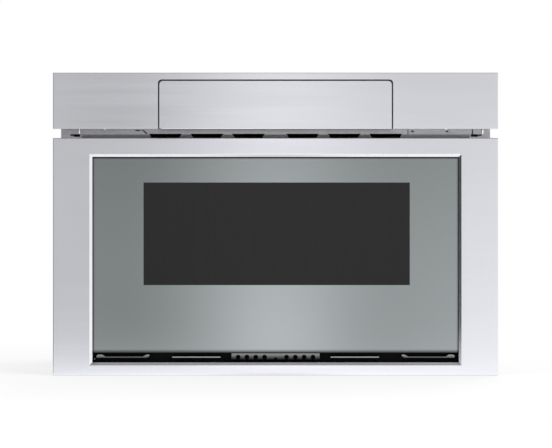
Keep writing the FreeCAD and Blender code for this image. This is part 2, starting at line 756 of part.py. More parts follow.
def magnetron():
    """Yoke with cooling fins, filter box below and antenna above."""
    top = CAVITY_TOP
    y = MAGNETRON_Y
    top_plate = block(-44, 44, y - 46, y + 46, top - 3, top)
    yoke = block(-40, 40, y - 34, y + 34, top - 78, top - 3)
    window = block(-41, 41, y - 31, y + 31, top - 72, top - 9)
    core = rod((0, y, top - 78), (0, 0, 1), 17.0, 75.0)
    fins = [block(-38, 38, y - 31, y + 31, top - 68 + i * 8, top - 67 + i * 8) for i in range(8)]
    filter_box = block(-30, 30, y - 30, y + 30, top - 103, top - 78)
    antenna = rod((0, y, top - 3), (0, 0, 1), ANTENNA_R, 26.0)
    cap = Part.makeCone(ANTENNA_R, ANTENNA_R - 3, 5.0, V(0, y, top + 23), V(0, 0, 1))
    return joined([top_plate, yoke.cut(window), core, filter_box, antenna, cap] + fins)


STIRRER_Z = CAVITY_Z1 - 7.0
STIRRER_MOTOR_Z = CAVITY_TOP + GUIDE_H


def stirrer_motor():
    """Flat synchronous motor on the wave guide, with its terminals."""
    body = rod((0, STIRRER_Y, STIRRER_MOTOR_Z), (0, 0, 1), 24.0, 16.0)
    tabs = block(-33, 33, STIRRER_Y - 5, STIRRER_Y + 5, STIRRER_MOTOR_Z, STIRRER_MOTOR_Z + 1.5)
    plug = block(-8, 8, STIRRER_Y + 18, STIRRER_Y + 34, STIRRER_MOTOR_Z + 2, STIRRER_MOTOR_Z + 12)
    bore = rod((0, STIRRER_Y, STIRRER_MOTOR_Z - 1), (0, 0, 1), STIRRER_SHAFT_R + RUN_CLEAR, 13.0)
    return joined([body, tabs, plug]).cut(bore)


def stirrer():
    """Metal mode stirrer: a hub, four flat vanes and the shaft to its motor."""
    top = STIRRER_MOTOR_Z + 11.0
    shaft = rod((0, STIRRER_Y, STIRRER_Z), (0, 0, 1), STIRRER_SHAFT_R, top - STIRRER_Z)
    hub = rod((0, STIRRER_Y, STIRRER_Z), (0, 0, 1), 8.0, 4.0)
    vanes = []
    for index in range(4):
        vane = block(6.0, STIRRER_R, STIRRER_Y - 9, STIRRER_Y + 9, STIRRER_Z + 1, STIRRER_Z + 2)
        vane.rotate(V(0, STIRRER_Y, 0), V(0, 0, 1), 90 * index)
        vanes.append(vane)
    return joined([shaft, hub] + vanes)


STIRRER_COVER_Z = CAVITY_Z1 - 14.0


def stirrer_cover():
    """Microwave-clear dish under the stirrer."""
    half = STIRRER_R + 14.0
    z0 = STIRRER_COVER_Z
    outside = block(-half, half, STIRRER_Y - half, STIRRER_Y + half, z0, CAVITY_Z1)
    inner = half - 1.5
    inside = block(-inner, inner, STIRRER_Y - inner, STIRRER_Y + inner, z0 + 1.5, CAVITY_Z1 + 1)
    return outside.cut(inside)


DUCT_D = 132.0


def exhaust_duct():
    """Air duct over the cavity that leads to the vents in the mounting plate."""
    half = VENT_FIRST + 2 * VENT_PITCH + VENT_TOP_W / 2 + 4.0
    z0 = CAVITY_TOP
    z1 = HEADER_Z0 - 5.0
    outside = block(-half, half, FLANGE_T, DUCT_D, z0, z1)
    wall = HOUSING_T
    inside = block(-half + wall, half - wall, FLANGE_T - 1, DUCT_D + 1, z0 + wall, z1 - wall)
    vanes = []
    for side in (-1, 1):
        x = side * (VENT_FIRST + VENT_PITCH / 2)
        vanes.append(block(x - 0.75, x + 0.75, 30.0, DUCT_D - 10, z0 + wall, z1 - wall))
    return joined([outside.cut(inside)] + vanes)


# ---------------------------------------------------------------- blower and electrics

SHROUD_Y = CAVITY_BACK + 46.0
FAN_Y = SHROUD_Y + 6.0
FAN_DEPTH = 14.0
STRUT_Y = SHROUD_Y + 30.0
STRUT_T = 2.0


def fan_shroud():
    """Upright plate with a throat ring, and the strut that holds the motor."""
    x0 = FAN_X - FAN_R - 12
    x1 = FAN_X + FAN_R + 12
    throat = FAN_R + FAN_TIP_GAP
    plate = block(x0, x1, SHROUD_Y, SHROUD_Y + 1.5, BASE_T, FAN_Z + FAN_R + 14)
    foot = block(x0, x1, SHROUD_Y, SHROUD_Y + 20, BASE_T, BASE_T + 1.5)
    ring = rod((FAN_X, SHROUD_Y, FAN_Z), (0, 1, 0), throat + 1.5, 22.0)
    hole = rod((FAN_X, SHROUD_Y - 1, FAN_Z), (0, 1, 0), throat, 24.0)
    legs = [block(x, x + 1.5, SHROUD_Y + 1.5, STRUT_Y + STRUT_T, FAN_Z - 12, FAN_Z + 12)
            for x in (x0, x1 - 1.5)]
    strut = block(x0, x1, STRUT_Y, STRUT_Y + STRUT_T, FAN_Z - 12, FAN_Z + 12)
    shaft_hole = rod((FAN_X, STRUT_Y - 1, FAN_Z), (0, 1, 0), FAN_SHAFT_R + 2, STRUT_T + 2)
    screen = joined([plate, ring, foot]).cut(hole)
    return joined([screen] + legs + [strut.cut(shaft_hole)])


def fan_motor():
    """Shaded-pole motor: laminated frame, coil and bearing block."""
    y0 = STRUT_Y + STRUT_T
    frame = block(FAN_X - 26, FAN_X + 26, y0, y0 + 16, FAN_Z - 30, FAN_Z + 26)
    gap = block(FAN_X - 16, FAN_X + 16, y0 - 1, y0 + 17, FAN_Z - 26, FAN_Z - 18)
    coil = block(FAN_X - 14, FAN_X + 14, y0 + 16, y0 + 26, FAN_Z - 30, FAN_Z - 14)
    bearing = rod((FAN_X, y0 + 16, FAN_Z), (0, 1, 0), 10.0, 8.0)
    bore = rod((FAN_X, y0 - 1, FAN_Z), (0, 1, 0), FAN_SHAFT_R + RUN_CLEAR, 22.0)
    return joined([frame, coil, bearing]).cut([gap, bore])


def fan_blade():
    """Five-bladed blower wheel on its shaft."""
    hub = rod((FAN_X, FAN_Y, FAN_Z), (0, 1, 0), 14.0, FAN_DEPTH)
    shaft = rod((FAN_X, FAN_Y, FAN_Z), (0, 1, 0), FAN_SHAFT_R, STRUT_Y + STRUT_T + 18.0 - FAN_Y)
    blades = []
    for index in range(FAN_BLADES):
        blade = block(FAN_X - 18, FAN_X + 18, FAN_Y + 5, FAN_Y + 6.5, FAN_Z + 12, FAN_Z + FAN_R)
        blade.rotate(V(FAN_X, FAN_Y + 6, FAN_Z + 30), V(0, 0, 1), 18)
        tip = rod((FAN_X, FAN_Y - 10, FAN_Z), (0, 1, 0), FAN_R, FAN_DEPTH + 20)
        blade = blade.common(tip)
        blade.rotate(V(FAN_X, 0, FAN_Z), V(0, 1, 0), 360.0 / FAN_BLADES * index)
        blades.append(blade)
    return joined([hub, shaft] + blades)


TRANSFORMER_X = HALF_BODY - 143.0
TRANSFORMER_Y = BODY_D - 66.0


def hv_transformer():
    """Laminated core with two windings, on its foot plate."""
    x = TRANSFORMER_X
    y = TRANSFORMER_Y
    foot = block(x - 52, x + 52, y - 44, y + 44, BASE_T, BASE_T + 2)
    core = block(x - 48, x + 48, y - 32, y + 32, BASE_T + 2, BASE_T + 82)
    coils = []
    for z in (BASE_T + 14, BASE_T + 46):
        coil = block(x - 30, x + 30, y - 44, y + 44, z, z + 24)
        coils.append(coil.makeFillet(8.0, upright_edges(coil)))
    return joined([foot, core] + coils)


CAPACITOR_X = 20.0
CAPACITOR_Y = BODY_D - 60.0


def hv_capacitor():
    """Oval can with two terminals, held by a strap on the base."""
    x = CAPACITOR_X
    y = CAPACITOR_Y
    can_h = 90.0
    can = block(x - 26, x + 26, y - 16, y + 16, BASE_T, BASE_T + can_h)
    can = can.makeFillet(15.5, upright_edges(can))
    pins = [block(x + dx - 3, x + dx + 3, y - 0.5, y + 0.5, BASE_T + can_h, BASE_T + can_h + 10)
            for dx in (-12, 12)]
    return joined([can] + pins)


def hv_diode():
    """High-voltage diode with its earth tag, beside the capacitor."""
    x = CAPACITOR_X - 55.0
    y = CAPACITOR_Y
    body = block(x - 10, x + 10, y - 4, y + 4, BASE_T + 1, BASE_T + 9)
    tag = block(x - 20, x - 8, y - 5, y + 5, BASE_T, BASE_T + 1)
    foot = block(x - 8, x + 10, y - 4, y + 4, BASE_T, BASE_T + 1)
    return joined([body, tag, foot])


BOARD_LIFT = 12.0
BOARD_T = 1.6


def circuit_board(x0, x1, y0, y1, parts):
    """Board on four posts on the cavity's roof; parts are (x, y, width, depth, height)."""
    z = CAVITY_TOP + BOARD_LIFT
    pieces = [block(x0, x1, y0, y1, z, z + BOARD_T)]
    for x in (x0 + 6, x1 - 6):
        for y in (y0 + 6, y1 - 6):
            pieces.append(rod((x, y, CAVITY_TOP), (0, 0, 1), 3.0, BOARD_LIFT))
    for px, py, width, depth, height in parts:
        pieces.append(block(x0 + px, x0 + px + width, y0 + py, y0 + py + depth,
                            z + BOARD_T, z + BOARD_T + height))
    return joined(pieces)


def power_board():
    """Relay board that feeds the transformer, motors and lamp."""
    x0 = GUIDE_W / 2 + 18
    parts = [(10, 12, 20, 16, 18), (36, 12, 20, 16, 18), (62, 12, 20, 16, 18),
             (96, 14, 34, 30, 28), (12, 60, 40, 34, 26), (70, 66, 12, 12, 20), (94, 66, 30, 10, 12)]
    return circuit_board(x0, x0 + 142, BOARD_Y, BOARD_Y + 120, parts)


def filter_board():
    """Mains filter board with choke coils and the fuse."""
    x1 = -GUIDE_W / 2 - 18
    parts = [(10, 10, 28, 28, 24), (50, 10, 24, 14, 16), (50, 34, 24, 10, 12), (84, 12, 10, 50, 10)]
    return circuit_board(x1 - 104, x1, BOARD_Y, BOARD_Y + 80, parts)


CUTOUT_X = HALF_CAVITY - 75.0
CUTOUT_Y = CAVITY_D - 85.0
BOARD_Y = STIRRER_Y - 50.0


def thermal_cutouts():
    """Bimetal discs with their tags, on the cavity's roof."""
    out = []
    for x, y in ((-CUTOUT_X, CUTOUT_Y), (CUTOUT_X, CUTOUT_Y)):
        disc = rod((x, y, CAVITY_TOP), (0, 0, 1), 8.0, 7.0)
        plate = block(x - 16, x + 16, y - 5, y + 5, CAVITY_TOP, CAVITY_TOP + 1)
        tags = [block(x + dx - 3, x + dx + 3, y - 0.4, y + 0.4, CAVITY_TOP + 7, CAVITY_TOP + 14)
                for dx in (-4, 4)]
        out.append(joined([disc, plate] + tags))
    return out


def cord_gland():
    """Bushing in the back sheet where the supply cord would enter."""
    flange = rod((GLAND_X, BODY_D + SHEET, GLAND_Z), (0, 1, 0), GLAND_NUT_R, 5.0)
    barrel = rod((GLAND_X, BODY_D - 14, GLAND_Z), (0, 1, 0), GLAND_HOLE_R - 0.1, 14 + SHEET)
    bore = rod((GLAND_X, BODY_D - 20, GLAND_Z), (0, 1, 0), GLAND_R, 30.0)
    return joined([flange, barrel]).cut(bore)


def terminal_block():
    """Supply terminals on the base behind the inlet."""
    x = GLAND_X
    y1 = BODY_D - 24
    body = block(x - 20, x + 20, y1 - 22, y1, BASE_T, BASE_T + 18)
    wells = [rod((x + dx, y1 - 11, BASE_T + 8), (0, 0, 1), 3.5, 12.0) for dx in (-12, 0, 12)]
    return body.cut(wells)


SWITCH_GAP = 4.0


def interlock_switches():
    """Upright plates beside the oven mouth, each with two micro switches for the door's hooks."""
    x0 = HOOK_X0 + HOOK_T + SWITCH_GAP
    z0 = HOOK_Z[0] - 12
    z1 = HOOK_Z[1] + 20
    bracket = joined([
        block(x0, x0 + SHEET, 0, 46.0, z0, z1),
        block(x0, x0 + 12.0, 0, SHEET, z0, z1),
    ])
    out = both(bracket)
    x0 = x0 + SHEET
    for z in (HOOK_Z[0] - 8, HOOK_Z[1] - 2):
        body = block(x0, x0 + 10.0, 8.0, 36.0, z, z + 16.0)
        lever = block(x0 + 3, x0 + 7, 6.0, 8.0, z + 2, z + 14.0)
        tag = block(x0 + 2, x0 + 8, 36.0, 42.0, z + 7, z + 8)
        out += both(joined([body, lever, tag]))
    return out


# ---------------------------------------------------------------- slides

def channel(x0, x1, z0, z1, y0, y1, lip):
    """C section with its web at x1, open towards x0, with raceway lips."""
    web = block(x1 - SLIDE_T, x1, y0, y1, z0, z1)
    lower = block(x0, x1, y0, y1, z0, z0 + SLIDE_T)
    upper = block(x0, x1, y0, y1, z1 - SLIDE_T, z1)
    pieces = [web, lower, upper]
    if lip > 0:
        pieces.append(block(x0, x0 + SLIDE_T, y0, y1, z0, z0 + SLIDE_T + lip))
        pieces.append(block(x0, x0 + SLIDE_T, y0, y1, z1 - SLIDE_T - lip, z1))
    return joined(pieces)


def slide_outer():
    """Cabinet member of the right-hand slide."""
    return channel(SLIDE_IN_X, SLIDE_OUT_X, SLIDE_Z0, SLIDE_Z0 + SLIDE_H,
                   SLIDE_START, SLIDE_START + SLIDE_L, SLIDE_LIP)


def slide_middle():
    """Intermediate member, which runs out half as far as the drawer."""
    return channel(SLIDE_IN_X + SLIDE_STEP, SLIDE_OUT_X - SLIDE_STEP, SLIDE_Z0 + SLIDE_STEP,
                   SLIDE_Z0 + SLIDE_H - SLIDE_STEP, SLIDE_START + 2, SLIDE_START + SLIDE_L - 4,
                   SLIDE_LIP)


def slide_inner():
    """Drawer member, with the rib that its arm is fixed to."""
    y0 = SLIDE_START + 2
    y1 = SLIDE_START + SLIDE_L - 4
    web_x = SLIDE_OUT_X - 2 * SLIDE_STEP
    body = channel(SLIDE_IN_X + 2 * SLIDE_STEP, web_x, SLIDE_Z0 + 2 * SLIDE_STEP,
                   SLIDE_Z0 + SLIDE_H - 2 * SLIDE_STEP, y0, y1, 0)
    rib = block(SLIDE_IN_X, web_x, y0, y1, SLIDE_MID_Z - RIB_H / 2, SLIDE_MID_Z + RIB_H / 2)
    return joined([body, rib])


def slide_brackets():
    """Angles on the base that hold the cabinet members."""
    y0 = SLIDE_START + 6
    y1 = SLIDE_START + SLIDE_L - 10
    upright = block(SLIDE_OUT_X, SLIDE_OUT_X + SLIDE_BRACKET_T, y0, y1, BASE_T, SLIDE_Z0 + SLIDE_H)
    foot = block(SLIDE_OUT_X, HALF_BODY - SHEET - BASE_T - 1, y0, y1, BASE_T, 2 * BASE_T)
    return both(joined([upright, foot]))


# ---------------------------------------------------------------- drawer front

def drawer_front_frame():
    """Stainless picture frame with folded edges and a bevelled aperture."""
    rear = DOOR_BACK_Y - 1.0
    outside = soft_edged(-HALF_FRONT, HALF_FRONT, FACE_Y, rear, DRAWER_Z0, DRAWER_Z1, FRONT_EDGE_R)
    inside = block(-HALF_FRONT + FRONT_T, HALF_FRONT - FRONT_T, FACE_Y + FRONT_T, rear + 1,
                   DRAWER_Z0 + FRONT_T, DRAWER_Z1 - FRONT_T)
    collar = block(-OPEN_X - COLLAR_T, OPEN_X + COLLAR_T, FACE_Y, DOOR_Y,
                   OPEN_Z0 - COLLAR_T, OPEN_Z1 + COLLAR_T)
    bevel = tapered_opening(APERTURE_X, APERTURE_Z0, APERTURE_Z1, FACE_Y, BEVEL_Y, BEVEL)
    well = block(-OPEN_X, OPEN_X, FACE_Y - 1, rear + 1, OPEN_Z0, OPEN_Z1)
    return joined([outside.cut(inside), collar]).cut([bevel, well])


def outer_glass():
    """Coated glass pane of the drawer front."""
    return block(-GLASS_X, GLASS_X, GLASS_Y, TAPE_Y, GLASS_Z0, GLASS_Z1)


def glass_tape():
    """Bonding tape between the glass and the door's steel panel."""
    outside = block(-GLASS_X, GLASS_X, TAPE_Y, DOOR_Y, DOOR_Z0, GLASS_Z1)
    inside = block(-GLASS_X + TAPE_W, GLASS_X - TAPE_W, TAPE_Y - 1, DOOR_Y + 1,
                   DOOR_Z0 + TAPE_W, GLASS_Z1 - TAPE_W)
    return outside.cut(inside)


def window_screen():
    """Perforated sheet behind the window (the holes are a surface finish)."""
    half = WINDOW_W / 2 + SCREEN_EDGE
    y0 = DOOR_Y + DOOR_SHEET
    return block(-half, half, y0, y0 + SCREEN_T, WINDOW_Z0 - SCREEN_EDGE, WINDOW_Z1 + SCREEN_EDGE)


RACK_FOOT_W = 40.0
RACK_FOOT_H = 24.0


def tab_screw_points():
    """Screws that hold the two arms and the rack to the door."""
    x = ARM_X - ARM_TAB_W / 2
    up = ARM_H / 4
    points = [(side * x, DOOR_BACK_Y + TAB_T, SLIDE_MID_Z + s * up) for side in (-1, 1) for s in (-1, 1)]
    foot_x = RACK_FOOT_W / 2 - SCREW_HEAD_R
    points += [(side * foot_x, DOOR_BACK_Y + TAB_T, RACK_Z) for side in (-1, 1)]
    return points


def door_panel():
    """Hollow steel door with the window opening and the choke groove."""
    outside = block(-DOOR_X, DOOR_X, DOOR_Y, DOOR_BACK_Y, DOOR_Z0, DOOR_Z1)
    t = DOOR_SHEET
    inside = block(-DOOR_X + t, DOOR_X - t, DOOR_Y + t, DOOR_REAR_IN, DOOR_Z0 + t, DOOR_Z1 - t)
    shell = outside.cut(inside)
    groove_y = DOOR_BACK_Y - CHOKE_DEPTH
    trough = block(-CHOKE_X1 - t, CHOKE_X1 + t, groove_y - t, DOOR_BACK_Y,
                   CHOKE_Z0_OUT - t, CHOKE_Z1_OUT + t)
    trough = trough.cut(block(-CHOKE_X0 + t, CHOKE_X0 - t, groove_y - 2 * t, DOOR_BACK_Y + 1,
                              CHOKE_Z0 + t, CHOKE_Z1 - t))
    groove = block(-CHOKE_X1, CHOKE_X1, groove_y, DOOR_BACK_Y + 1, CHOKE_Z0_OUT, CHOKE_Z1_OUT)
    groove = groove.cut(block(-CHOKE_X0, CHOKE_X0, groove_y - 1, DOOR_BACK_Y + 2, CHOKE_Z0, CHOKE_Z1))
    half = WINDOW_W / 2
    window = block(-half, half, DOOR_Y - 1, DOOR_BACK_Y + 1, WINDOW_Z0, WINDOW_Z1)
    holes = [rod(p, (0, -1, 0), SCREW_R + SCREW_FIT, TAB_T + DOOR_SHEET + 0.5)
             for p in tab_screw_points()]
    return joined([shell, trough]).cut([groove, window] + holes)


def choke_cover():
    """Plastic ring that closes the choke groove and seals towards the oven mouth."""
    y1 = DOOR_BACK_Y + CHOKE_COVER_T
    outside = block(-CHOKE_X1 - 2, CHOKE_X1 + 2, DOOR_BACK_Y, y1, CHOKE_Z0_OUT - 2, CHOKE_Z1_OUT + 2)
    inside = block(-CHOKE_X0 + 2, CHOKE_X0 - 2, DOOR_BACK_Y - 1, y1 + 1, CHOKE_Z0 + 2, CHOKE_Z1 - 2)
    return outside.cut(inside)


def inner_glass():
    """Pane on the oven side of the door."""
    half = CHOKE_X0 - 2.5
    return block(-half, half, DOOR_BACK_Y, INNER_GLASS_Y, CHOKE_Z0 + 2.5, CHOKE_Z1 - 2.5)


HOLE_R = 3.25
HOLE_FIRST = 15.0
HOLE_PITCH = 12.0
GRILLE_HALF = 60.0
GUARD_T = 1.5
GUARD_SHELF_Y = BEVEL_Y + 4.0
GUARD_BACK_Y = DOOR_BACK_Y - 4.0
SHELF_UP = 7.25
HOLE_UP = 6.6
LATCH_HOLE_R = 2.0
LATCH_HOLE_UP = 4.6
PLAIN_SHELF = (75.0, 141.0)
EARED_SHELF = (172.0, 244.0)
EAR_H = 2.7


def eared_shelf(z):
    """Outline of a shelf whose inner end flicks up and whose outer end is a rounded ear."""
    x0, x1 = EARED_SHELF
    low = z - GUARD_T
    return [(x0, z + EAR_H), (x0, z + 0.6), (x0 + 4, low), (x1, low), (x1, z + 1.4),
            (x1 - 2, z + EAR_H), (x1 - 8, z + EAR_H), (x1 - 12, z), (x0 + 9, z), (x0 + 4, z + EAR_H)]


def intake_guard():
    """Black trough in the slot under the glass: shelves with ears and a row of holes."""
    z0 = DRAWER_Z0 + FRONT_T
    back_y = GUARD_BACK_Y
    half = OPEN_X + COLLAR_T
    shelf_y = GUARD_SHELF_Y
    shelf_z = OPEN_Z0 + SHELF_UP
    back = block(-half, half, back_y - GUARD_T, back_y, z0, DOOR_Z0)
    top = block(-half, half, DOOR_Y + 1, back_y, DOOR_Z0 - GUARD_T, DOOR_Z0)
    floor = block(-half, half, DOOR_Y, back_y, OPEN_Z0 - 3, OPEN_Z0 - 3 + GUARD_T)
    grille = block(-GRILLE_HALF, GRILLE_HALF, shelf_y, shelf_y + GUARD_T, OPEN_Z0 + 2, GLASS_Z0 - 1)
    roof = block(-GRILLE_HALF, GRILLE_HALF, shelf_y, back_y, GLASS_Z0 - 1 - GUARD_T, GLASS_Z0 - 1)
    pieces = [back, top, floor, grille, roof]
    pieces += both(block(*PLAIN_SHELF, shelf_y, back_y, shelf_z - GUARD_T, shelf_z))
    pieces += both(prism_y(eared_shelf(shelf_z), shelf_y, back_y))
    front = shelf_y - 1
    cuts = [rod((0, front, OPEN_Z0 + LATCH_HOLE_UP), (0, 1, 0), LATCH_HOLE_R, GUARD_T + 2)]
    for index in range(4):
        x = HOLE_FIRST + index * HOLE_PITCH
        cuts += both(rod((x, front, OPEN_Z0 + HOLE_UP), (0, 1, 0), HOLE_R, GUARD_T + 2))
    for column in range(-5, 6):
        x = column * 44.0
        cuts.append(block(x - 17, x + 17, back_y - GUARD_T - 1, back_y + 1, z0 + 3, OPEN_Z0 - 4))
    return joined(pieces).cut(cuts)


def latch_hooks():
    """Steel hooks on the door that enter the interlock switches."""
    y0 = DOOR_BACK_Y
    reach = 16.0
    z0, z1 = HOOK_Z
    foot = block(HOOK_X0 - 3, HOOK_X0 + 7, y0, y0 + TAB_T, z0 - 2, z1 + 2)
    hook = prism_x([(y0 + TAB_T, z0 + 4), (reach, z0 + 4), (reach + 6, z0 + 9), (reach + 6, z1),
                    (reach, z1), (reach, z1 - 6), (y0 + TAB_T, z1 - 6)], HOOK_X0, HOOK_X0 + HOOK_T)
    return both(joined([foot, hook]))


def drawer_pan():
    """Open pan behind the door."""
    y0 = INNER_GLASS_Y
    z1 = PAN_Z0 + PAN_H
    outside = block(-PAN_X, PAN_X, y0, PAN_BACK, PAN_Z0, z1)
    outside = outside.makeFillet(PAN_CORNER_R, upright_edges(outside))
    inside = block(-PAN_X + PAN_T, PAN_X - PAN_T, y0 + PAN_T, PAN_BACK - PAN_T, PAN_Z0 + PAN_T, z1 + 1)
    inside = inside.makeFillet(PAN_CORNER_R - PAN_T, upright_edges(inside))
    return outside.cut(inside)


def ceramic_tray():
    """Glass-ceramic plate on the pan's floor."""
    half = PAN_X - PAN_T - TRAY_GAP
    y0 = INNER_GLASS_Y + PAN_T + TRAY_GAP
    y1 = PAN_BACK - PAN_T - TRAY_GAP
    z0 = PAN_Z0 + PAN_T
    plate = block(-half, half, y0, y1, z0, z0 + TRAY_T)
    return plate.makeFillet(TRAY_CORNER_R, upright_edges(plate))


def drawer_arms():
    """Steel arms that join the door to the drawer members of the slides."""
    y0 = DOOR_BACK_Y
    arm = block(ARM_X, SLIDE_IN_X, y0, SLIDE_START + SLIDE_L - 6, ARM_Z0, ARM_Z0 + ARM_H)
    tab = block(ARM_X - ARM_TAB_W, SLIDE_IN_X, y0, y0 + TAB_T, ARM_Z0, ARM_Z0 + ARM_H)
    holes = [rod((p[0], y0 - 1, p[2]), (0, 1, 0), SCREW_R + SCREW_FIT, TAB_T + 2)
             for p in tab_screw_points() if p[0] > RACK_FOOT_W]
    return both(joined([arm, tab]).cut(holes))


DOOR_SCREW_HEAD_H = 1.2


def door_screws():
    """Low-head screws through the arms' tabs and the rack's foot."""
    out = []
    for p in tab_screw_points():
        shank = rod(p, (0, -1, 0), SCREW_R, TAB_T + DOOR_SHEET)
        head = rod(p, (0, 1, 0), SCREW_HEAD_R - 0.5, DOOR_SCREW_HEAD_H)
        out.append(joined([shank, head]))
    return out


# ---------------------------------------------------------------- drive

def drive_rack():
    """Toothed bar under the cavity, fixed to the door by its foot."""
    tan_a = math.tan(math.radians(PRESSURE_ANGLE))
    half_tooth = RACK_PITCH / 4 - TOOTH_THINNING / 2
    top = MODULE * 0.95
    root = MODULE * 1.2
    y = RACK_START
    points = [(-root - RACK_BODY, y), (-root - RACK_BODY, y + RACK_L), (-root, y + RACK_L)]
    for index in reversed(range(RACK_TEETH)):
        centre = y + (index + 0.5) * RACK_PITCH
        points += [(-root, centre + half_tooth + root * tan_a), (top, centre + half_tooth - top * tan_a),
                   (top, centre - half_tooth + top * tan_a), (-root, centre - half_tooth - root * tan_a)]
    points.append((-root, y))
    bar = prism_z(points, RACK_Z - RACK_W / 2, RACK_Z + RACK_W / 2)
    foot_back = DOOR_BACK_Y + TAB_T
    foot = block(-RACK_FOOT_W / 2, RACK_FOOT_W / 2, DOOR_BACK_Y, foot_back,
                 RACK_Z - RACK_FOOT_H / 2, RACK_Z + RACK_FOOT_H / 2)
    neck = block(-root - RACK_BODY, -root, foot_back, RACK_START, RACK_Z - RACK_W / 2, RACK_Z + RACK_W / 2)
    holes = [rod((p[0], DOOR_BACK_Y - 1, p[2]), (0, 1, 0), SCREW_R + SCREW_FIT, TAB_T + 2)
             for p in tab_screw_points() if abs(p[0]) < RACK_FOOT_W]
    return joined([bar, neck, foot]).cut(holes)


def involute(base_r, radius):
    """Roll angle of an involute between its base circle and a radius."""
    ratio = max(radius / base_r, 1.0)
    angle = math.acos(1.0 / ratio)
    return math.tan(angle) - angle


def drive_pinion():
    """Pinion with involute teeth, and its shaft."""
    base_r = PITCH_R * math.cos(math.radians(PRESSURE_ANGLE))
    tip_r = PITCH_R + MODULE * 0.95
    root_r = PITCH_R - MODULE * 1.2
    half_angle = (math.pi * MODULE / 4 - TOOTH_THINNING / 2) / PITCH_R
    start = half_angle + involute(base_r, PITCH_R)
    flank = [base_r + (tip_r - base_r) * i / 4 for i in range(5)]
    step = 2 * math.pi / PINION_TEETH
    points = []
    for index in range(PINION_TEETH):
        middle = math.pi + index * step
        side = [(root_r, start)] + [(r, start - involute(base_r, r)) for r in flank]
        rising = [(r, middle - a) for r, a in side]
        falling = [(r, middle + a) for r, a in reversed(side)]
        for r, angle in rising + falling:
            points.append((PITCH_R + r * math.cos(angle), PINION_Y + r * math.sin(angle)))
    z0 = RACK_Z - PINION_T / 2
    wheel = prism_z(points, z0, z0 + PINION_T)
    shaft = rod((PITCH_R, PINION_Y, z0 - 14), (0, 0, 1), PINION_SHAFT_R, PINION_T + 14)
    hub = rod((PITCH_R, PINION_Y, z0 - 1.5), (0, 0, 1), 7.0, 1.5)
    return joined([wheel, shaft, hub])


def gearmotor():
    """Gearbox with its motor, and the shoe that backs the rack."""
    z_top = RACK_Z - PINION_T / 2 - 2.0
    y = PINION_Y
    x = PITCH_R
    shoe_x = -MODULE * 1.2 - RACK_BODY - 0.3
    box = block(x - 22, x + 34, y - 18, y + 42, BASE_T + 4, z_top)
    foot = block(shoe_x - 8, x + 40, y - 16, y + 36, BASE_T, BASE_T + 5)
    can = rod((x + 12, y + 40, (BASE_T + 4 + z_top) / 2), (0, 1, 0), 14.0, 60.0)
    bore = rod((x, y, z_top - 13), (0, 0, 1), PINION_SHAFT_R + RUN_CLEAR, 14.0)
    shoe = block(shoe_x - 8, shoe_x, y - 16, y + 16, BASE_T, RACK_Z + RACK_W / 2)
    return joined([box, foot, can, shoe]).cut(bore)


# ---------------------------------------------------------------- build

def build():
    save("base_plate", base_plate())
    save("outer_cover", outer_cover())
    save("rear_panel", rear_panel())
    save("chassis_screws", chassis_screws())
    save("front_plate", front_plate())
    save("header_fascia", header_fascia())
    save("hinge_brackets", hinge_brackets())
    save("push_latches", push_latches())
    save("latch_plungers", latch_plungers())
    save("control_housing", control_housing())
    save("panel_cover", panel_cover())
    save("panel_carrier", panel_carrier())
    save("panel_pivots", panel_pivots())
    save("touch_glass", touch_glass())
    save("display", display())
    save("control_board", control_board())
    save("latch_strikers", latch_strikers())
    save("oven_cavity", oven_cavity())
    save("cavity_supports", cavity_supports())
    save("oven_lamp", oven_lamp())
    save("wave_guide", wave_guide())
    save("magnetron", magnetron())
    save("stirrer_motor", stirrer_motor())
    save("stirrer", stirrer())
    save("stirrer_cover", stirrer_cover())
    save("exhaust_duct", exhaust_duct())
    save("fan_shroud", fan_shroud())
    save("fan_motor", fan_motor())
    save("fan_blade", fan_blade())
    save("hv_transformer", hv_transformer())
    save("hv_capacitor", hv_capacitor())
    save("hv_diode", hv_diode())
    save("power_board", power_board())
    save("filter_board", filter_board())
    save("thermal_cutouts", thermal_cutouts())
    save("cord_gland", cord_gland())
    save("terminal_block", terminal_block())
    save("interlock_switches", interlock_switches())
    save("slide_outers", both(slide_outer()))
    save("slide_inners", both(slide_inner()))
    for side, member in zip(("right", "left"), both(slide_middle())):
        save("slide_middle_" + side, member)
    save("slide_brackets", slide_brackets())
    save("drawer_front_frame", drawer_front_frame())
    save("outer_glass", outer_glass())
    save("glass_tape", glass_tape())
    save("window_screen", window_screen())
    save("door_panel", door_panel())
    save("choke_cover", choke_cover())
    save("inner_glass", inner_glass())
    save("intake_guard", intake_guard())
    save("latch_hooks", latch_hooks())
    save("drawer_pan", drawer_pan())
    save("ceramic_tray", ceramic_tray())
    save("drawer_arms", drawer_arms())
    save("door_screws", door_screws())
    save("drive_rack", drive_rack())
    save("drive_pinion", drive_pinion())
    save("gearmotor", gearmotor())


build()
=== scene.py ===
import json
import math

import bmesh
import bpy
from mathutils import Matrix, Vector


